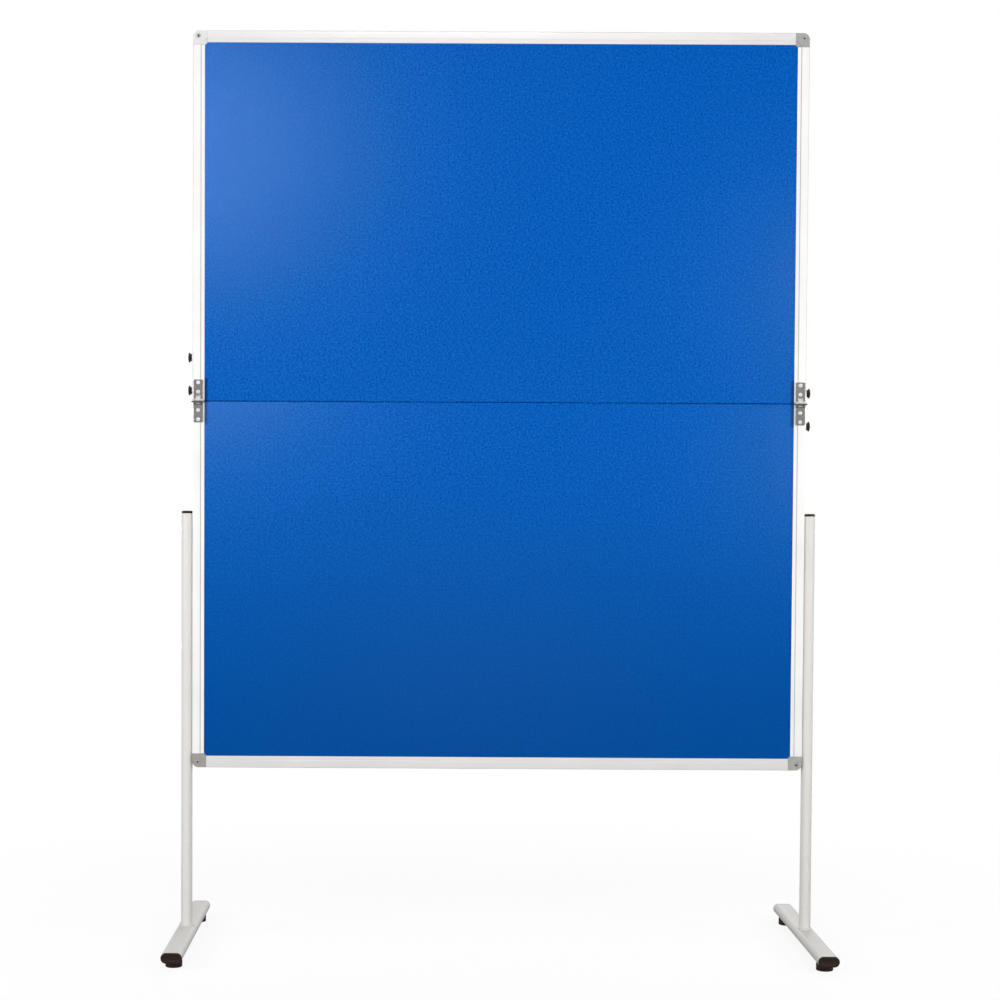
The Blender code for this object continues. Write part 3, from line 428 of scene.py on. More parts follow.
# %% Metals, paint and plastics
drawn = {"metallic": 0.2, "grain_scale": 2600.0, "bump": 0.10, "drift": 0.03, "wear": 1.2}
anodised_upright = hard_finish("anodised aluminium, upright", (0.895, 0.888, 0.876), 0.38,
                               along=(1, 1, 0.012), worn_colour=(0.92, 0.92, 0.91), **drawn)
# painted shade: the level lengths are the same aluminium as the uprights, painted darker
anodised_level_painted_darker = hard_finish("anodised aluminium, level", (0.745, 0.735, 0.72), 0.38,
                             along=(0.012, 1, 1), worn_colour=(0.84, 0.84, 0.83), **drawn)
# painted shade: a darker aluminium for the uprights' groove and the rounded outer edges
painted_line_shade = hard_finish("aluminium, painted groove and edge shade", (0.52, 0.505, 0.49), 0.5, metallic=0.2,
                          grain_scale=1500.0, bump=0.1, drift=0.06, specular=0.3)
# nickel with painted shade below the pin
nickel = hard_finish("nickel plate", (0.78, 0.755, 0.735), 0.18, metallic=1.0, grain_scale=600.0, bump=0.06,
                     drift=0.04, wear=1.0, worn_colour=(0.84, 0.82, 0.80), wear_reach=0.0004,
                     pin_shade_from=FOLD_HEIGHT)
small_part = {"grain_scale": 2200.0, "bump": 0.08}
zinc = hard_finish("zinc plate", (0.66, 0.66, 0.65), 0.26, metallic=1.0, drift=0.06, wear=1.5,
                   worn_colour=(0.80, 0.80, 0.79), wear_reach=0.0003, **small_part)
rivet_metal = hard_finish("rivet aluminium", (0.86, 0.86, 0.85), 0.34, metallic=0.4, drift=0.04, wear=1.0,
                          worn_colour=(0.90, 0.90, 0.89), wear_reach=0.0003, **small_part)
screw_grey = hard_finish("satin screw plating", (0.47, 0.47, 0.46), 0.42, metallic=0.4, drift=0.05, wear=1.2,
                         worn_colour=(0.62, 0.62, 0.61), wear_reach=0.0003, **small_part)
# painted shade: near black for the recess of the corner screws' sockets
painted_socket_shade = hard_finish("screw socket, painted shade", (0.030, 0.030, 0.030), 0.6, dusty=0.0, specular=0.1, **small_part)
painted = {"grain_scale": 700.0, "bump": 0.30, "wear": 0.5}
powder_coat = hard_finish("light grey powder coat", (0.69, 0.67, 0.64), 0.40, drift=0.02, dusty=0.08,
                          worn_colour=(0.78, 0.77, 0.75), coat=0.12, coat_roughness=0.25, **painted)
# painted shade: the same powder coat as the legs, painted darker for the feet and weld beads
powder_coat_painted_darker = hard_finish("powder coat, painted darker as shade", (0.585, 0.567, 0.538), 0.46, drift=0.05, dusty=0.10,
                           worn_colour=(0.69, 0.68, 0.655), coat=0.10, coat_roughness=0.3, **painted)
moulded = {"grain_scale": 1300.0, "bump": 0.20, "drift": 0.12, "wear": 0.8, "wear_reach": 0.0008}
black_plastic = hard_finish("black moulded plastic", (0.016, 0.015, 0.014), 0.46, dusty=0.05, specular=0.22,
                            worn_colour=(0.060, 0.057, 0.054), **moulded)
cap_plastic = hard_finish("brown black cap plastic", (0.024, 0.013, 0.010), 0.50, dusty=0.04, specular=0.16,
                          worn_colour=(0.060, 0.045, 0.038), **moulded)
fibre_board = hard_finish("soft fibre board", (0.52, 0.40, 0.26), 0.92, grain_scale=500.0, bump=0.5,
                          drift=0.14, dusty=0.0, specular=0.1)
# painted light and shade: one grey plastic, the upper left corner painted pale, the other three darker
CORNER_PAINTED_LIGHT_TONES = {"bottom_left": (0.315, 0.300, 0.278), "bottom_right": (0.375, 0.360, 0.338),
                  "top_left": (0.70, 0.70, 0.698), "top_right": (0.345, 0.340, 0.338)}
corner_plastic_painted_light = {}
for place_word, colour in CORNER_PAINTED_LIGHT_TONES.items():
    corner_plastic_painted_light[place_word] = hard_finish(
        "corner plastic, " + place_word, colour, 0.50, grain_scale=1500.0, bump=0.18, drift=0.04,
        wear=1.0, wear_reach=0.0009, worn_colour=tuple(part * 1.14 for part in colour))
print("hard finishes:", len(bpy.data.materials) - 1)

# %% [markdown]
# ## The felt
# Needle felt has no weave. Short dyed fibres lie in all directions, so up close it is a mat of fine dark
# and light threads, and from a few steps away a faint mottle. Light that grazes it catches the loose ends
# and gives it a pale sheen, which is what the shader's own sheen layer is for. Three stretched grains, each
# turned a third of the way round, stand for the threads, and the highest one wins at each point. A coarser,
# even grain is the mottle. The sheets' colour is painted darker towards the bottom, as painted shade, and
# the flecks are painted stronger towards the top, as painted sheen. A fleck that is paler is also less
# smooth, so it shines more softly. Beside the hinges a narrow dark strip is painted into the felt, as the
# painted shadow of the hinge leaves.

# %% Felt threads
felt_threads, start, end = shader_group(
    "felt threads", [("Scale", FLOAT, 2400.0), ("Mottle Scale", FLOAT, 260.0)],
    [("Shade", FLOAT), ("Height", FLOAT)])
upper_threads = None
for turn in (0.15, 1.25, 2.30):
    threads = use_group(felt_threads, grain, Scale=start.outputs["Scale"], Along=(0.16, 1, 1),
                        Turn=turn, Contrast=2.0)
    value = threads.outputs["Value"]
    upper_threads = reckon(felt_threads, 'MAXIMUM', upper_threads, value) if upper_threads else value
mottle = use_group(felt_threads, grain, Scale=start.outputs["Mottle Scale"], Contrast=3.2)
shade = reckon(felt_threads, 'ADD', reckon(felt_threads, 'MULTIPLY', upper_threads, 0.25),
               reckon(felt_threads, 'MULTIPLY', mottle.outputs["Value"], 0.65))
height = reckon(felt_threads, 'ADD', reckon(felt_threads, 'MULTIPLY', upper_threads, 0.10),
                reckon(felt_threads, 'MULTIPLY', mottle.outputs["Value"], 0.25))
felt_threads.links.new(shade, end.inputs["Shade"])
felt_threads.links.new(height, end.inputs["Height"])
print("group:", felt_threads.name)

# %% Felt material
FELT_DARK = (0.0, 0.040, 0.292)
FELT_LIGHT = (0.0015, 0.147, 0.532)
# painted shadow of the hinge leaves: its colour, its reach and its strength
FELT_LEAF_SHADOW = (0.002, 0.022, 0.100)
FELT_EDGE = HALF_WIDTH - FRAME_FACE
LEAF_SHADOW_ACROSS = (FELT_EDGE - 8 * MM, FELT_EDGE - 3.5 * MM)
LEAF_SHADOW_ALONG = (43 * MM, 48 * MM)
LEAF_SHADOW_STRENGTH = 0.9
felt_blue = bpy.data.materials.new("blue needle felt")
felt_blue.use_nodes = True
tree = felt_blue.node_tree
shader = tree.nodes["Principled BSDF"]
feed_named(tree, shader, Specular_IOR_Level=0.04, Specular_Tint=(0.35, 0.61, 1.0, 1), Sheen_Weight=0.03,
           Sheen_Roughness=0.45, Sheen_Tint=(0.15, 0.45, 1.0, 1))
fibres = use_group(tree, felt_threads)
matt = reckon(tree, 'ADD', reckon(tree, 'MULTIPLY', fibres.outputs["Shade"], 0.42), 0.05)
spot = add_node(tree, 'ShaderNodeTexCoord')
level = add_node(tree, 'ShaderNodeSeparateXYZ', Vector=spot.outputs["Object"])
# partly painted sheen: the dye flecks are real, and their contrast rising towards the top is painted sheen
sheen_fleck_contrast = ramp(tree, level.outputs["Z"], (0.4, 1.05), (0.25, 1))
flecks = reckon(tree, 'MULTIPLY', reckon(tree, 'SUBTRACT', fibres.outputs["Shade"], 0.5), sheen_fleck_contrast)
dyed = mixed_colour(tree, reckon(tree, 'ADD', flecks, 0.5), FELT_DARK, FELT_LIGHT)
# painted shade: the felt's colour darkens towards the bottom of the board
shade_to_bottom = ramp(tree, level.outputs["Z"], (0.3, 1.1), (0.68, 1))
bottom_shade_tone = add_node(tree, 'ShaderNodeCombineColor', Red=shade_to_bottom, Green=shade_to_bottom, Blue=shade_to_bottom)
shaded_dye = mixed_colour(tree, 1.0, dyed, bottom_shade_tone.outputs[0], 'MULTIPLY')
# painted shadow: a dark strip on the felt's front beside each hinge leaf
beside = ramp(tree, reckon(tree, 'ABSOLUTE', level.outputs["X"]), LEAF_SHADOW_ACROSS, kind='LINEAR')
from_fold = reckon(tree, 'ABSOLUTE', reckon(tree, 'SUBTRACT', level.outputs["Z"], FOLD_HEIGHT))
near_leaf = ramp(tree, from_fold, LEAF_SHADOW_ALONG, (1, 0), kind='LINEAR')
in_front = reckon(tree, 'LESS_THAN', level.outputs["Y"], 0.0)
leaf_shadow = reckon(tree, 'MULTIPLY', reckon(tree, 'MULTIPLY', beside, in_front),
               reckon(tree, 'MULTIPLY', near_leaf, LEAF_SHADOW_STRENGTH))
relief = add_node(tree, 'ShaderNodeBump', Strength=0.5, Distance=0.0005, Height=fibres.outputs["Height"])
feed_named(tree, shader, Base_Color=mixed_colour(tree, leaf_shadow, shaded_dye, FELT_LEAF_SHADOW), Roughness=matt,
           Normal=relief.outputs[0])
print("felt:", felt_blue.name)

# %% [markdown]
# ## Making a piece
# Each new piece is drawn into a bmesh, turned into an object and given its finish. It is put under the body
# it moves with, and the solid it stands for is hidden. A Bevel modifier then gives its sharp edges the small
# radius that every sawn, pressed or moulded edge has, and which catches the light.

# %% Piece helpers
SMOOTH_BELOW = math.radians(32)


def make_piece(name, bm, material, body, replaced, edge=0.0):
    bmesh.ops.remove_doubles(bm, verts=bm.verts, dist=1e-6)
    bmesh.ops.recalc_face_normals(bm, faces=bm.faces)
    mesh = bpy.data.meshes.new(name)
    bm.to_mesh(mesh)
    bm.free()
    mesh.shade_smooth()
    mesh.set_sharp_from_angle(angle=SMOOTH_BELOW)
    mesh.materials.append(material)
    piece = bpy.data.objects.new(name, mesh)
    bpy.context.collection.objects.link(piece)
    if edge:
        round_edges(piece, edge)
    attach(piece, body)
    if replaced:
        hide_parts(*replaced)
    return piece


def round_edges(piece, width, segments=2):
    bevel = piece.modifiers.new("edge radius", 'BEVEL')
    bevel.width = width
    bevel.segments = segments
    bevel.limit_method = 'ANGLE'
    bevel.angle_limit = math.radians(38)
    bevel.harden_normals = True


def second_finish(piece, material, chosen):
    """Gives the faces whose middle is chosen a finish of their own; returns their number."""
    piece.data.materials.append(material)
    picked = [face for face in piece.data.polygons if chosen(face.center)]
    for face in picked:
        face.material_index = 1
    return len(picked)


print("piece helpers ready")

# %% [markdown]
# ### Sections, prisms and turned shapes
# Most of the board is either a section pushed along a line, such as the frame, or a profile turned about an
# axis, such as a knob or a tube. The third maker joins rings of equally many points, for shapes that change
# along their length.

# %% Shape helpers
def arc(centre, radius, start, end, steps):
    turn = [start + (end - start) * step / steps for step in range(steps + 1)]
    return [(centre[0] + radius * math.cos(a), centre[1] + radius * math.sin(a)) for a in turn]


def circle(centre, radius, steps):
    return arc(centre, radius, 0, math.tau, steps)[:-1]


def obround(half_width, half_height, steps):
    reach = half_width - half_height
    quarter = math.pi / 2
    return (arc((reach, 0), half_height, -quarter, quarter, steps)
            + arc((-reach, 0), half_height, quarter, 3 * quarter, steps))


def prism(bm, loops, low, high, turn=Matrix.Identity(4)):
    """Pushes a flat outline, with its holes, from low to high along its own Z."""
    before = set(bm.verts)
    edges = []
    for loop in loops:
        ring = [bm.verts.new((u, v, low)) for u, v in loop]
        edges += [bm.edges.new(pair) for pair in zip(ring, ring[1:] + ring[:1])]
    if len(loops) > 1:
        filled = bmesh.ops.triangle_fill(bm, use_beauty=True, use_dissolve=False, edges=edges)
        faces = [item for item in filled["geom"] if isinstance(item, bmesh.types.BMFace)]
    else:
        faces = [bm.faces.new(ring)]
    raised = bmesh.ops.extrude_face_region(bm, geom=faces, use_keep_orig=True)
    top = [item for item in raised["geom"] if isinstance(item, bmesh.types.BMVert)]
    bmesh.ops.translate(bm, verts=top, vec=(0, 0, high - low))
    bmesh.ops.transform(bm, matrix=turn, verts=[point for point in bm.verts if point not in before])


def rings(bm, loops, turn, closed=False):
    """Skins a row of (outline, height) pairs; closed joins the last to the first."""
    rows = [[bm.verts.new(turn @ Vector((u, v, height))) for u, v in outline]
            for outline, height in loops]
    following = rows[1:] + rows[:1] if closed else rows[1:]
    for lower, upper in zip(rows, following):
        for here in range(len(lower)):
            after = (here + 1) % len(lower)
            bm.faces.new((lower[here], lower[after], upper[after], upper[here]))
    if not closed:
        bm.faces.new(rows[0])
        bm.faces.new(rows[-1])


def lathe(bm, profile, steps, turn, closed=False):
    """Turns (radius, height) points about Z; a profile that isn't closed starts and ends off the axis."""
    rings(bm, [(circle((0, 0), radius, steps), height) for radius, height in profile], turn, closed)


def in_mm(points, above=0):
    """Turns (radius, height) points from millimetres to metres, above a height."""
    return [(radius * MM, above + height * MM) for radius, height in points]


QUARTER = math.pi / 2
TO_RIGHT = Matrix.Rotation(QUARTER, 4, 'Y')
TO_LEFT = Matrix.Rotation(-QUARTER, 4, 'Y')
TO_BACK = Matrix.Rotation(-QUARTER, 4, 'X')
TO_FRONT = Matrix.Rotation(QUARTER, 4, 'X')
ACROSS = Matrix(((0, 0, 1, 0), (1, 0, 0, 0), (0, 1, 0, 0), (0, 0, 0, 1)))


def outward(side):
    return TO_RIGHT if side == RIGHT else TO_LEFT


def at(x, y, z):
    return Matrix.Translation((x, y, z))


print("shape helpers ready")

# %% [markdown]
# ## The felt sheets
# On each half one sheet of felt starts under the frame's lip, runs to the fold, turns over the edge of the
# core board and runs back down the rear. Modelling it as one bent strip and not as two plates matters at
# the fold: the rounded edges there make the fine double line across the board.

# %% Felt sheets
FELT_THICKNESS = 1.6 * MM
CORE_HALF = 6 * MM
FELT_ACROSS = HALF_WIDTH - 15.3 * MM
BEND_STEPS = 8
FELT_CROWN = 0.48 * MM


def felt_sheet(half, body, frame_end, fold_end):
    out = 1 if fold_end > frame_end else -1
    turn = fold_end - out * FELT_THICKNESS
    inner = CORE_HALF + SEAT_GAP
    outer = inner + FELT_THICKNESS
    between = [(inner * step / 3, FELT_THICKNESS) for step in (-2, -1, 0, 1, 2)]
    bends = (arc((-inner, 0), FELT_THICKNESS, math.pi, QUARTER, BEND_STEPS) + between
             + arc((inner, 0), FELT_THICKNESS, QUARTER, 0, BEND_STEPS))
    outline = [(-inner, frame_end), (-outer, frame_end)]
    outline += [(v, turn + out * (past + FELT_CROWN * (1 - (v / outer) ** 2))) for v, past in bends]
    outline += [(outer, frame_end), (inner, frame_end), (inner, turn), (-inner, turn)]
    bm = bmesh.new()
    prism(bm, [outline], -FELT_ACROSS, FELT_ACROSS, ACROSS)
    sheet = make_piece(half + "_felt_sheet", bm, felt_blue, body, [half + "_felt"])
    felt_sheets.objects.link(sheet)


low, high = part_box("lower_felt")
felt_sheet("lower", "lower_panel", low.z, high.z)
low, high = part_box("upper_felt")
felt_sheet("upper", "upper_panel", high.z, low.z)

# %% [markdown]
# ## The frame
# The frame is an extrusion: aluminium pressed through a die, so its section is the same all along. Seen
# from the front it is a flat outer band, a fine groove and an inner lip that holds the felt. In its outer
# side runs a slot for bolts. The section is drawn once and pushed along each of the six lengths. The
# uprights' groove and the free rounded edges get a darker finish of their own, which is painted shade: at
# this distance they are narrower than a pixel, so the shade that falls in them is painted into their colour.

# %% Frame section
BAND_WIDTH = 14.8 * MM
GROOVE_END = 16.3 * MM
GROOVE_DEPTH = 0.8 * MM
CHANNEL_FLOOR = 15 * MM
LIP_FACE = HALF_DEPTH - 0.5 * MM
CHANNEL_HALF = HALF_DEPTH - 1.8 * MM
SLOT_FLOOR = 7 * MM
SLOT_HALF = 6 * MM
SLOT_MOUTH = 3.7 * MM
SLOT_NECK = 1.5 * MM
CHAMBER = (8.3 * MM, 13.7 * MM)
CHAMBER_HALF = 8.55 * MM
OUTER_ROUND = 0.9 * MM


def frame_section():
    middle = (OUTER_ROUND, -HALF_DEPTH + OUTER_ROUND)
    front = arc(middle, OUTER_ROUND, math.pi, 3 * QUARTER, 5)
    front += [(BAND_WIDTH, -HALF_DEPTH), (BAND_WIDTH, -HALF_DEPTH + GROOVE_DEPTH),
              (GROOVE_END, -HALF_DEPTH + GROOVE_DEPTH), (GROOVE_END, -LIP_FACE), (FRAME_FACE, -LIP_FACE),
              (FRAME_FACE, -CHANNEL_HALF), (CHANNEL_FLOOR, -CHANNEL_HALF)]
    slot = [(0, SLOT_MOUTH), (SLOT_NECK, SLOT_MOUTH), (SLOT_NECK, SLOT_HALF), (SLOT_FLOOR, SLOT_HALF)]
    near, far = CHAMBER
    chamber = [(near, -CHAMBER_HALF), (far, -CHAMBER_HALF), (far, CHAMBER_HALF), (near, CHAMBER_HALF)]
    mirrored = [(u, -v) for u, v in reversed(front)]
    return [front + mirrored + slot + [(u, -v) for u, v in reversed(slot)], chamber]


FRAME_EDGE = 0.22 * MM
MARGIN = 0.1 * MM


def shade_lines(piece, distance_in, edges, grooves):
    """Gives the rounded outer edges and the grooves, where told so, a darker finish as painted shade."""
    def chosen(point):
        depth = distance_in(point)
        in_groove = grooves and BAND_WIDTH - MARGIN < depth < GROOVE_END + MARGIN
        on_edge = edges and 0.02 * MM < depth < OUTER_ROUND
        near_face = abs(point.y) > HALF_DEPTH - OUTER_ROUND - MARGIN
        return near_face and (in_groove or on_edge)

    return second_finish(piece, painted_line_shade, chosen)


for half, body, _ in HALVES:
    for side, word in SIDES:
        name = half + "_" + word + "_stile"
        low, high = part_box(name)
        bm = bmesh.new()
        loops = [[(side * (HALF_WIDTH - u), v) for u, v in loop] for loop in frame_section()]
        prism(bm, loops, low.z, high.z)
        stile = make_piece(name + "_profile", bm, anodised_upright, body, [name], FRAME_EDGE)
        # painted shade in the uprights' groove, and on the upper uprights' outer edges
        shade_lines(stile, lambda point: HALF_WIDTH - abs(point.x), half == "upper", True)
RAIL_REACH = HALF_WIDTH - CORNER_LEG - SEAT_GAP
for end_word, body, outer, inward in ENDS:
    name = end_word + "_rail"
    bm = bmesh.new()
    loops = [[(v, outer + inward * u) for u, v in loop] for loop in frame_section()]
    prism(bm, loops, -RAIL_REACH, RAIL_REACH, ACROSS)
    rail = make_piece(name + "_profile", bm, anodised_level_painted_darker, body, [name], FRAME_EDGE)
    # painted shade on the rails' rounded outer edges
    print(name, "shaded faces:", shade_lines(rail, lambda point: abs(point.z - outer), True, False))
print("frame lengths: 6")

# %% [markdown]
# ## Pieces whose solid is right but too sharp
# The corner pieces, hinge leaves and lock links have the right shape in the frame already. A mould or a
# press never leaves knife edges, though. So the solid's mesh is copied, its flat triangles are joined to
# whole faces, and the Bevel modifier rounds what is left. Rebuilding them point by point would give the
# same shape. The four corner pieces are one grey plastic with painted light and shade in their tones: the
# upper left one is painted pale, and the other three darker.

# %% Rounded copies
FLAT_BELOW = math.radians(0.5)
MOULDED_EDGE = 0.45 * MM
PRESSED_EDGE = 0.25 * MM


def rounded_copy(node, material, body, edge):
    bm = bmesh.new()
    bm.from_mesh(nodes[node].data)
    bmesh.ops.remove_doubles(bm, verts=bm.verts, dist=1e-6)
    bmesh.ops.dissolve_limit(bm, angle_limit=FLAT_BELOW, verts=bm.verts, edges=bm.edges)
    return make_piece(node + "_finished", bm, material, body, [node], edge)


for end_word, body, _, _ in ENDS:
    for side, word in SIDES:
        place_word = end_word + "_" + word
        # each corner gets its own tone of painted light and shade
        rounded_copy(place_word + "_corner", corner_plastic_painted_light[place_word], body, MOULDED_EDGE)
for half, body, _ in HALVES:
    for side, word in SIDES:
        rounded_copy(half + "_" + word + "_hinge_leaf", nickel, body, PRESSED_EDGE)
for side, word in SIDES:
    rounded_copy(word + "_lock_link", anodised_upright, word + "_link", PRESSED_EDGE)
print("rounded copies: 10")

# %% [markdown]
# ## Corner screws
# Each corner is held by a screw sunk flush in its plate. The head is a ring of points that meets a six-
# sided ring of the same number of points, so that the socket's wall joins the round head without a Boolean.

# %% Corner screws
SCREW_PLACE = 10.5 * MM
HEAD_RADIUS = 4.2 * MM
HEAD_HEIGHT = 2.2 * MM
HEAD_TOP = HALF_DEPTH + 0.4 * MM - SEAT_GAP
SHANK_RADIUS = 1.8 * MM
SHANK_END = HEAD_TOP - HEAD_HEIGHT - 11.5 * MM
HEAD_CHAMFER = 0.35 * MM
SOCKET_DEPTH = 1.6 * MM
SOCKET_RIM = 2.15 * MM
SOCKET_TOP = 1.95 * MM
SOCKET_FLOOR = 1.90 * MM
RING = 36


def hexagon(radius):
    corners = [Vector(point) for point in circle((0, 0), radius, 6)]
    points = []
    for one, other in zip(corners, corners[1:] + corners[:1]):
        points += [tuple(one.lerp(other, step / (RING // 6))) for step in range(RING // 6)]
    return points


def round_ring(radius):
    return circle((0, 0), radius, RING)


for end_word, body, height, inward in ENDS:
    for side, word in SIDES:
        node = end_word + "_" + word + "_corner_screw"
        spot = at(side * (HALF_WIDTH - SCREW_PLACE), 0, height + inward * SCREW_PLACE) @ TO_FRONT
        bm = bmesh.new()
        rings(bm, [(round_ring(SHANK_RADIUS), SHANK_END),
                   (round_ring(SHANK_RADIUS), HEAD_TOP - HEAD_HEIGHT),
                   (round_ring(HEAD_RADIUS), HEAD_TOP - HEAD_HEIGHT),
                   (round_ring(HEAD_RADIUS), HEAD_TOP - HEAD_CHAMFER),
                   (round_ring(HEAD_RADIUS - HEAD_CHAMFER), HEAD_TOP),
                   (hexagon(SOCKET_RIM), HEAD_TOP),
                   (hexagon(SOCKET_TOP), HEAD_TOP - 0.25 * MM),
                   (hexagon(SOCKET_FLOOR), HEAD_TOP - SOCKET_DEPTH)], spot)
        screw = make_piece(node + "_hex", bm, screw_grey, body, [node])

        def in_socket(point):
            middle = spot.inverted() @ point
            return middle.xy.length < 2.1 * MM and middle.z > HEAD_TOP - 2 * MM

        # painted shade in the socket's recess
        second_finish(screw, painted_socket_shade, in_socket)
print("corner screws: 4")

# %% [markdown]
# ## Hinge pins and rivets
# The pin has a collar and a tapered point at each end. A blind rivet is set from one side: its head is a
# low dome with a small eye, and in the eye sits the stub where the pulling pin broke off. The stub and the
# eye's wall get duller steel: on the stub that is its own metal, and on the wall it is painted shade.

# %% Hinge pins
pin_profile = in_mm([(0.7, -12.3), (1.5, -12.0), (2.4, -11.3), (3.2, -10.5), (3.2, -9.6), (2.15, -9.6),
                     (2.15, 9.6), (3.2, 9.6), (3.2, 11.3), (2.6, 12.3), (1.8, 13.2), (0.8, 13.8)])
for side, word in SIDES:
    bm = bmesh.new()
    lathe(bm, pin_profile, 40, at(side * HINGE_X, PIN_Y, FOLD_HEIGHT) @ outward(side))
    make_piece(word + "_hinge_pin_turned", bm, nickel, "lower_panel", [word + "_hinge_pin"],
               0.12 * MM)
print("pins: 2")

# %% Rivets
RIVET_PLACES = ((18 * MM, "near"), (36 * MM, "far"))
RIVET_SEAT = HALF_DEPTH + 2.1 * MM
RIVET_DOME = RIVET_SEAT + 1.5 * MM
RIVET_EYE = 1.3 * MM
rivet_profile = in_mm([(1.8, -8.3), (1.8, 0), (3.6, 0), (3.6, 0.25), (3.3, 0.62), (2.8, 1.10), (2.1, 1.40),
                       (1.5, 1.5), (1.3, 1.4), (1.2, 0.6), (0.9, 0.6), (0.8, 1.1), (0.3, 1.2)], RIVET_SEAT)
for half, body, up in HALVES:
    for side, word in SIDES:
        for distance, place_word in RIVET_PLACES:
            node = half + "_" + word + "_" + place_word + "_rivet"
            bm = bmesh.new()
            spot = at(side * HINGE_X, 0, FOLD_HEIGHT + up * distance) @ TO_FRONT
            lathe(bm, rivet_profile, 32, spot)
            rivet = make_piece(node + "_set", bm, rivet_metal, body, [node])

            def in_eye(point):
                middle = spot.inverted() @ point
                return RIVET_DOME - MM < middle.z < RIVET_DOME - 0.15 * MM and middle.xy.length < RIVET_EYE

            # the steel stub, and painted shade on the eye's wall
            second_finish(rivet, screw_grey, in_eye)
print("rivets: 8")

# %% [markdown]
# ## Thumb knobs
# A thumb knob is moulded on a steel stud. Its rim is fluted for grip, so each ring follows a wave around
# its edge, with many points to a flute so that the flutes are round and not saw teeth. The waves die out
# towards the boss and the face. The stud is the same mesh with its own material on its faces.

# %% Thumb knobs
KNOB_POINTS = 144
FLUTES = 18
LINK_OUT = 2.1 * MM
STUD_RADIUS = 3 * MM
# the radius, the depth of the flutes and the height above the link, in millimetres
KNOB_RINGS = ((3.0, 0, 0), (6.6, 0, 0), (7.0, 0, 0.4), (7.1, 0, 3.2), (7.4, 0, 3.5), (8.5, 0.1, 3.55),
              (9.3, 0.4, 3.9), (9.6, 0.6, 4.4), (9.6, 0.6, 5.5), (9.2, 0.5, 6.1), (8.2, 0.2, 6.7),
              (6.6, 0, 7.15), (5.2, 0, 7.35), (4.9, 0, 7.05), (2.4, 0, 6.95))


def fluted(radius, depth):
    points = []
    for step in range(KNOB_POINTS):
        angle = math.tau * step / KNOB_POINTS
        reach = radius - depth * (0.5 - 0.5 * math.cos(FLUTES * angle))
        points.append((reach * math.cos(angle), reach * math.sin(angle)))
    return points


def thumb_knob(node, body, side, height, stud_end):
    bm = bmesh.new()
    loops = [(fluted(STUD_RADIUS, 0), stud_end)]
    loops += [(fluted(radius * MM, depth * MM), LINK_OUT + out * MM) for radius, depth, out in KNOB_RINGS]
    rings(bm, loops, at(side * HALF_WIDTH, 0, height) @ outward(side))
    knob = make_piece(node + "_moulded", bm, black_plastic, body, [node])
    second_finish(knob, zinc, lambda point: abs(point.x) < HALF_WIDTH + LINK_OUT - 0.05 * MM)


PIVOT_HEIGHT = FOLD_HEIGHT + 20.7 * MM
LOCK_SPACING = 64.5 * MM
PIVOT_STUD_END = -6.7 * MM
END_STUD_END = 0.6 * MM
for side, word, end in ((LEFT, "left", 1), (RIGHT, "right", -1)):
    thumb_knob(word + "_pivot_knob", word + "_pivot_thumb_knob", side, PIVOT_HEIGHT, PIVOT_STUD_END)
    thumb_knob(word + "_end_knob", word + "_end_thumb_knob", side, PIVOT_HEIGHT + end * LOCK_SPACING,
               END_STUD_END)
print("knobs: 4")

# %% [markdown]
# ## Leg tubes
# A leg is a round steel tube. On its outer side two holes let a driver reach the bolts that clamp it to the
# frame. The holes are cut with a Boolean, whose result is applied to the mesh and whose cutter is deleted,
# and the tube has many sides so that its highlight runs as one straight line.

# %% Leg tubes
LEG_RADIUS = 11 * MM
LEG_WALL = 1.5 * MM
LEG_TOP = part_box("left_leg_tube")[1].z
LEG_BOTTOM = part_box("left_leg_tube")[0].z
BOLT_HEIGHTS = (LEG_TOP - 30 * MM, LEG_TOP - 260 * MM)
DRIVER_HOLE = 5.8 * MM
BOLT_HOLE = 3.3 * MM
PAST_TUBE = 13 * MM
INSIDE_TUBE = 5 * MM
CUT_EDGE = 0.4 * MM


def drilled(bm, cutter_bm):
    """Cuts one bmesh with another and returns the result."""
    made = []
    for label, shape in (("blank", bm), ("cutter", cutter_bm)):
        bmesh.ops.recalc_face_normals(shape, faces=shape.faces)
        mesh = bpy.data.meshes.new(label)
        shape.to_mesh(mesh)
        shape.free()
        made.append(bpy.data.objects.new(label, mesh))
        bpy.context.collection.objects.link(made[-1])
    blank, cutter = made
    cut = blank.modifiers.new("cut", 'BOOLEAN')
    cut.operation = 'DIFFERENCE'
    cut.solver = 'EXACT'
    cut.object = cutter
    result = bmesh.new()
    result.from_object(blank, bpy.context.evaluated_depsgraph_get())
    for thing in made:
        bpy.data.objects.remove(thing, do_unlink=True)
    return result


for side, word in SIDES:
    axis = at(side * LEG_X, 0, 0)
    bm = bmesh.new()
    inner = LEG_RADIUS - LEG_WALL
    lathe(bm, [(LEG_RADIUS, LEG_BOTTOM), (LEG_RADIUS, LEG_TOP - CUT_EDGE), (LEG_RADIUS - CUT_EDGE, LEG_TOP),
               (inner, LEG_TOP), (inner, LEG_BOTTOM)], 72, axis, closed=True)
    cutter = bmesh.new()
    for height in BOLT_HEIGHTS:
        hole = axis @ at(0, 0, height) @ outward(side)
        lathe(cutter, [(DRIVER_HOLE, 0), (DRIVER_HOLE, PAST_TUBE)], 40, hole)
        lathe(cutter, [(BOLT_HOLE, -PAST_TUBE), (BOLT_HOLE, -INSIDE_TUBE)], 32, hole)
    make_piece(word + "_leg_tube_painted", drilled(bm, cutter), powder_coat, word + "_leg",
               [word + "_leg_tube"])
print("leg tubes from", round(LEG_BOTTOM, 4), "to", round(LEG_TOP, 4))

# %% [markdown]
# ## The weld at the foot
# Where a leg meets its foot runs a weld bead: a chain of overlapping drops laid around the tube, then
# painted over. A ring with a wave on its radius and its height gives that look and needs no sculpting.

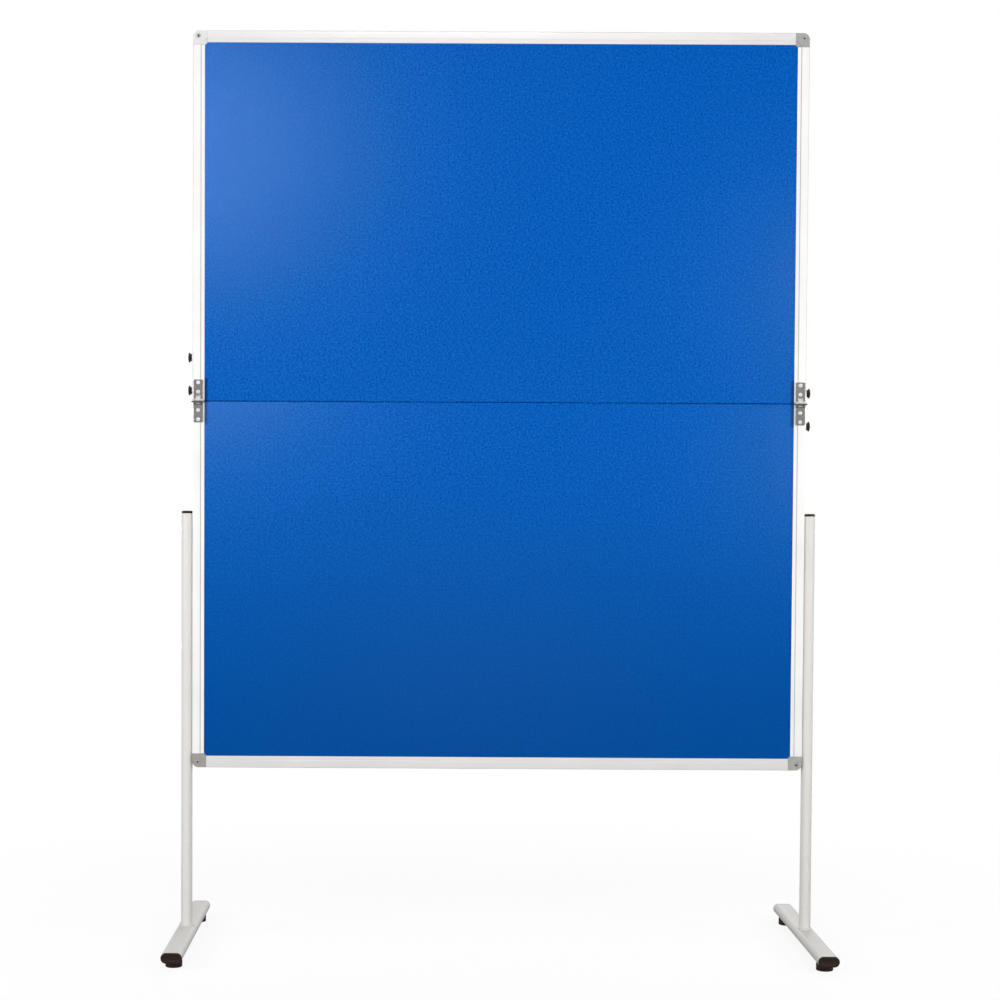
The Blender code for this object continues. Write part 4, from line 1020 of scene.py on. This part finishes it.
# %% Weld beads
BEAD_STEPS = 132
DROPS = 33
DROP_SWELL = 0.13
HAND_DRIFT = 0.04
BEAD_RADIUS = 2.6 * MM
BEAD_RISE = 1.15
BEAD_POINTS = 10
WELD_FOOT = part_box("left_foot_tube")[1].z + 0.02 * MM


def weld_bead(side, word):
    bm = bmesh.new()
    rows = []
    for step in range(BEAD_STEPS):
        turn = math.tau * step / BEAD_STEPS
        swell = 1 + DROP_SWELL * abs(math.sin(DROPS * turn / 2)) - HAND_DRIFT * math.sin(5 * turn)
        quarter = arc((0, 0), BEAD_RADIUS * swell, 0, QUARTER, BEAD_POINTS - 1)
        section = [(LEG_RADIUS - 0.2 * MM + out, WELD_FOOT + up * BEAD_RISE) for out, up in quarter]
        section.append((LEG_RADIUS - 0.4 * MM, WELD_FOOT))
        rows.append([bm.verts.new((side * LEG_X + reach * math.cos(turn), reach * math.sin(turn), height))
                     for reach, height in section])
    for row, after in zip(rows, rows[1:] + rows[:1]):
        for part in range(len(row)):
            following = (part + 1) % len(row)
            bm.faces.new((row[part], row[following], after[following], after[part]))
    # painted shade: the bead takes the darker copy of the powder coat
    make_piece(word + "_weld_bead", bm, powder_coat_painted_darker, word + "_leg", [])


for side, word in SIDES:
    weld_bead(side, word)
print("weld beads: 2")

# %% [markdown]
# ## Plug caps, feet and glides
# A soft black cap closes each tube. On the legs it is a shallow dome; on the flat oval feet it is a plate
# with a rounded rim, and its outline is the tube's own, so only a fine line shows between them. Under each
# end of a foot a round glide is screwed in, with a shallow groove round its side to turn it by.

# %% Leg caps
PLUG_RADIUS = LEG_RADIUS - LEG_WALL - SEAT_GAP
PLUG_SEAT = LEG_TOP + SEAT_GAP
cap_profile = [(PLUG_RADIUS - 0.6 * MM, LEG_TOP - 12 * MM), (PLUG_RADIUS, LEG_TOP - 10.8 * MM),
               (PLUG_RADIUS, PLUG_SEAT), (LEG_RADIUS, PLUG_SEAT)]
cap_profile += in_mm([(11, 3.1), (10.75, 3.8), (9.9, 4.35), (8.4, 4.8), (6.2, 5.1), (3.2, 5.0), (0.6, 4.95)],
                     LEG_TOP)
for side, word in SIDES:
    bm = bmesh.new()
    lathe(bm, cap_profile, 64, at(side * LEG_X, 0, 0))
    make_piece(word + "_leg_cap_moulded", bm, cap_plastic, word + "_leg", [word + "_leg_cap"],
               0.2 * MM)
print("leg caps: 2, at", round(LEG_TOP, 3), "m")

# %% Foot tubes and their caps
FOOT_HALF_WIDTH = 20 * MM
FOOT_HALF_HEIGHT = 10 * MM
FOOT_WALL = 1.5 * MM
FOOT_REACH = 246.7 * MM
FOOT_MIDDLE = 24.5 * MM
OVAL_STEPS = 20
# the inset and the height past the tube's end, in millimetres
CAP_RINGS = ((2.6, -12), (1.8, -10), (1.8, 0.3), (0, 0.3), (0, 1.8), (0.25, 2.5), (0.8, 3.05), (1.7, 3.3),
             (3.2, 3.3), (3.6, 3.05), (8.5, 3.0))


def oval(inset):
    return obround(FOOT_HALF_WIDTH - inset, FOOT_HALF_HEIGHT - inset, OVAL_STEPS)


for side, word in SIDES:
    middle = at(side * LEG_X, 0, FOOT_MIDDLE)
    bm = bmesh.new()
    rings(bm, [(oval(0), -FOOT_REACH), (oval(0), FOOT_REACH), (oval(FOOT_WALL), FOOT_REACH),
               (oval(FOOT_WALL), -FOOT_REACH)], middle @ TO_FRONT, closed=True)
    cutter = bmesh.new()
    for end in (-1, 1):
        lathe(cutter, in_mm([(4.3, -12), (4.3, -6)]), 32, middle @ at(0, end * GLIDE_Y, 0))
    # painted shade: the foot takes the darker copy of the powder coat
    make_piece(word + "_foot_tube_painted", drilled(bm, cutter), powder_coat_painted_darker, word + "_leg",
               [word + "_foot_tube"], 0.15 * MM)
    for turn, end_word in ((TO_FRONT, "front"), (TO_BACK, "rear")):
        bm = bmesh.new()
        rings(bm, [(oval(inset * MM), FOOT_REACH + past * MM) for inset, past in CAP_RINGS], middle @ turn)
        node = word + "_" + end_word + "_foot_cap"
        make_piece(node + "_moulded", bm, cap_plastic, word + "_leg", [node])
print("feet: 2, foot caps: 4")

# %% Glides
GLIDE_HEIGHT = 14.2 * MM
glide_profile = in_mm([(13.6, 0), (14.8, 0.2), (15.7, 0.9), (16.0, 1.9), (16.0, 5.2), (15.5, 5.6),
                       (15.5, 6.6), (16.0, 7.0), (16.0, 12.6), (15.6, 13.6), (14.7, 14.1), (13.8, 14.2),
                       (4.0, 14.2), (4.0, 27.6), (3.4, 28.2)])
for side, word in SIDES:
    for end, end_word in ((-1, "front"), (1, "rear")):
        node = word + "_" + end_word + "_glide"
        bm = bmesh.new()
        lathe(bm, glide_profile, 64, at(side * LEG_X, end * GLIDE_Y, 0))
        glide = make_piece(node + "_moulded", bm, cap_plastic, word + "_" + end_word + "_foot_glide",
                           [node])
        second_finish(glide, zinc, lambda point: point.z > GLIDE_HEIGHT + MARGIN)
print("glides: 4")

# %% [markdown]
# ## Solids that stay
# The core boards, slot nuts, nut bars and leg bolts sit inside the frame and the tubes. Their solids are
# right as they are, so they only get the finish of what they are made of.

# %% Finishes for the solids that stay
def refinish(node, material):
    for slot in nodes[node].material_slots:
        slot.material = material


for half in ("lower", "upper"):
    refinish(half + "_core", fibre_board)
for side, word in SIDES:
    refinish(word + "_pivot_nut", zinc)
    refinish(word + "_leg_nut_bar", zinc)
    for place_word in ("upper", "lower"):
        refinish(word + "_" + place_word + "_leg_bolt", zinc)
shown = [name for name, node in nodes.items() if not node.hide_render]
print("solids still shown:", len(shown))
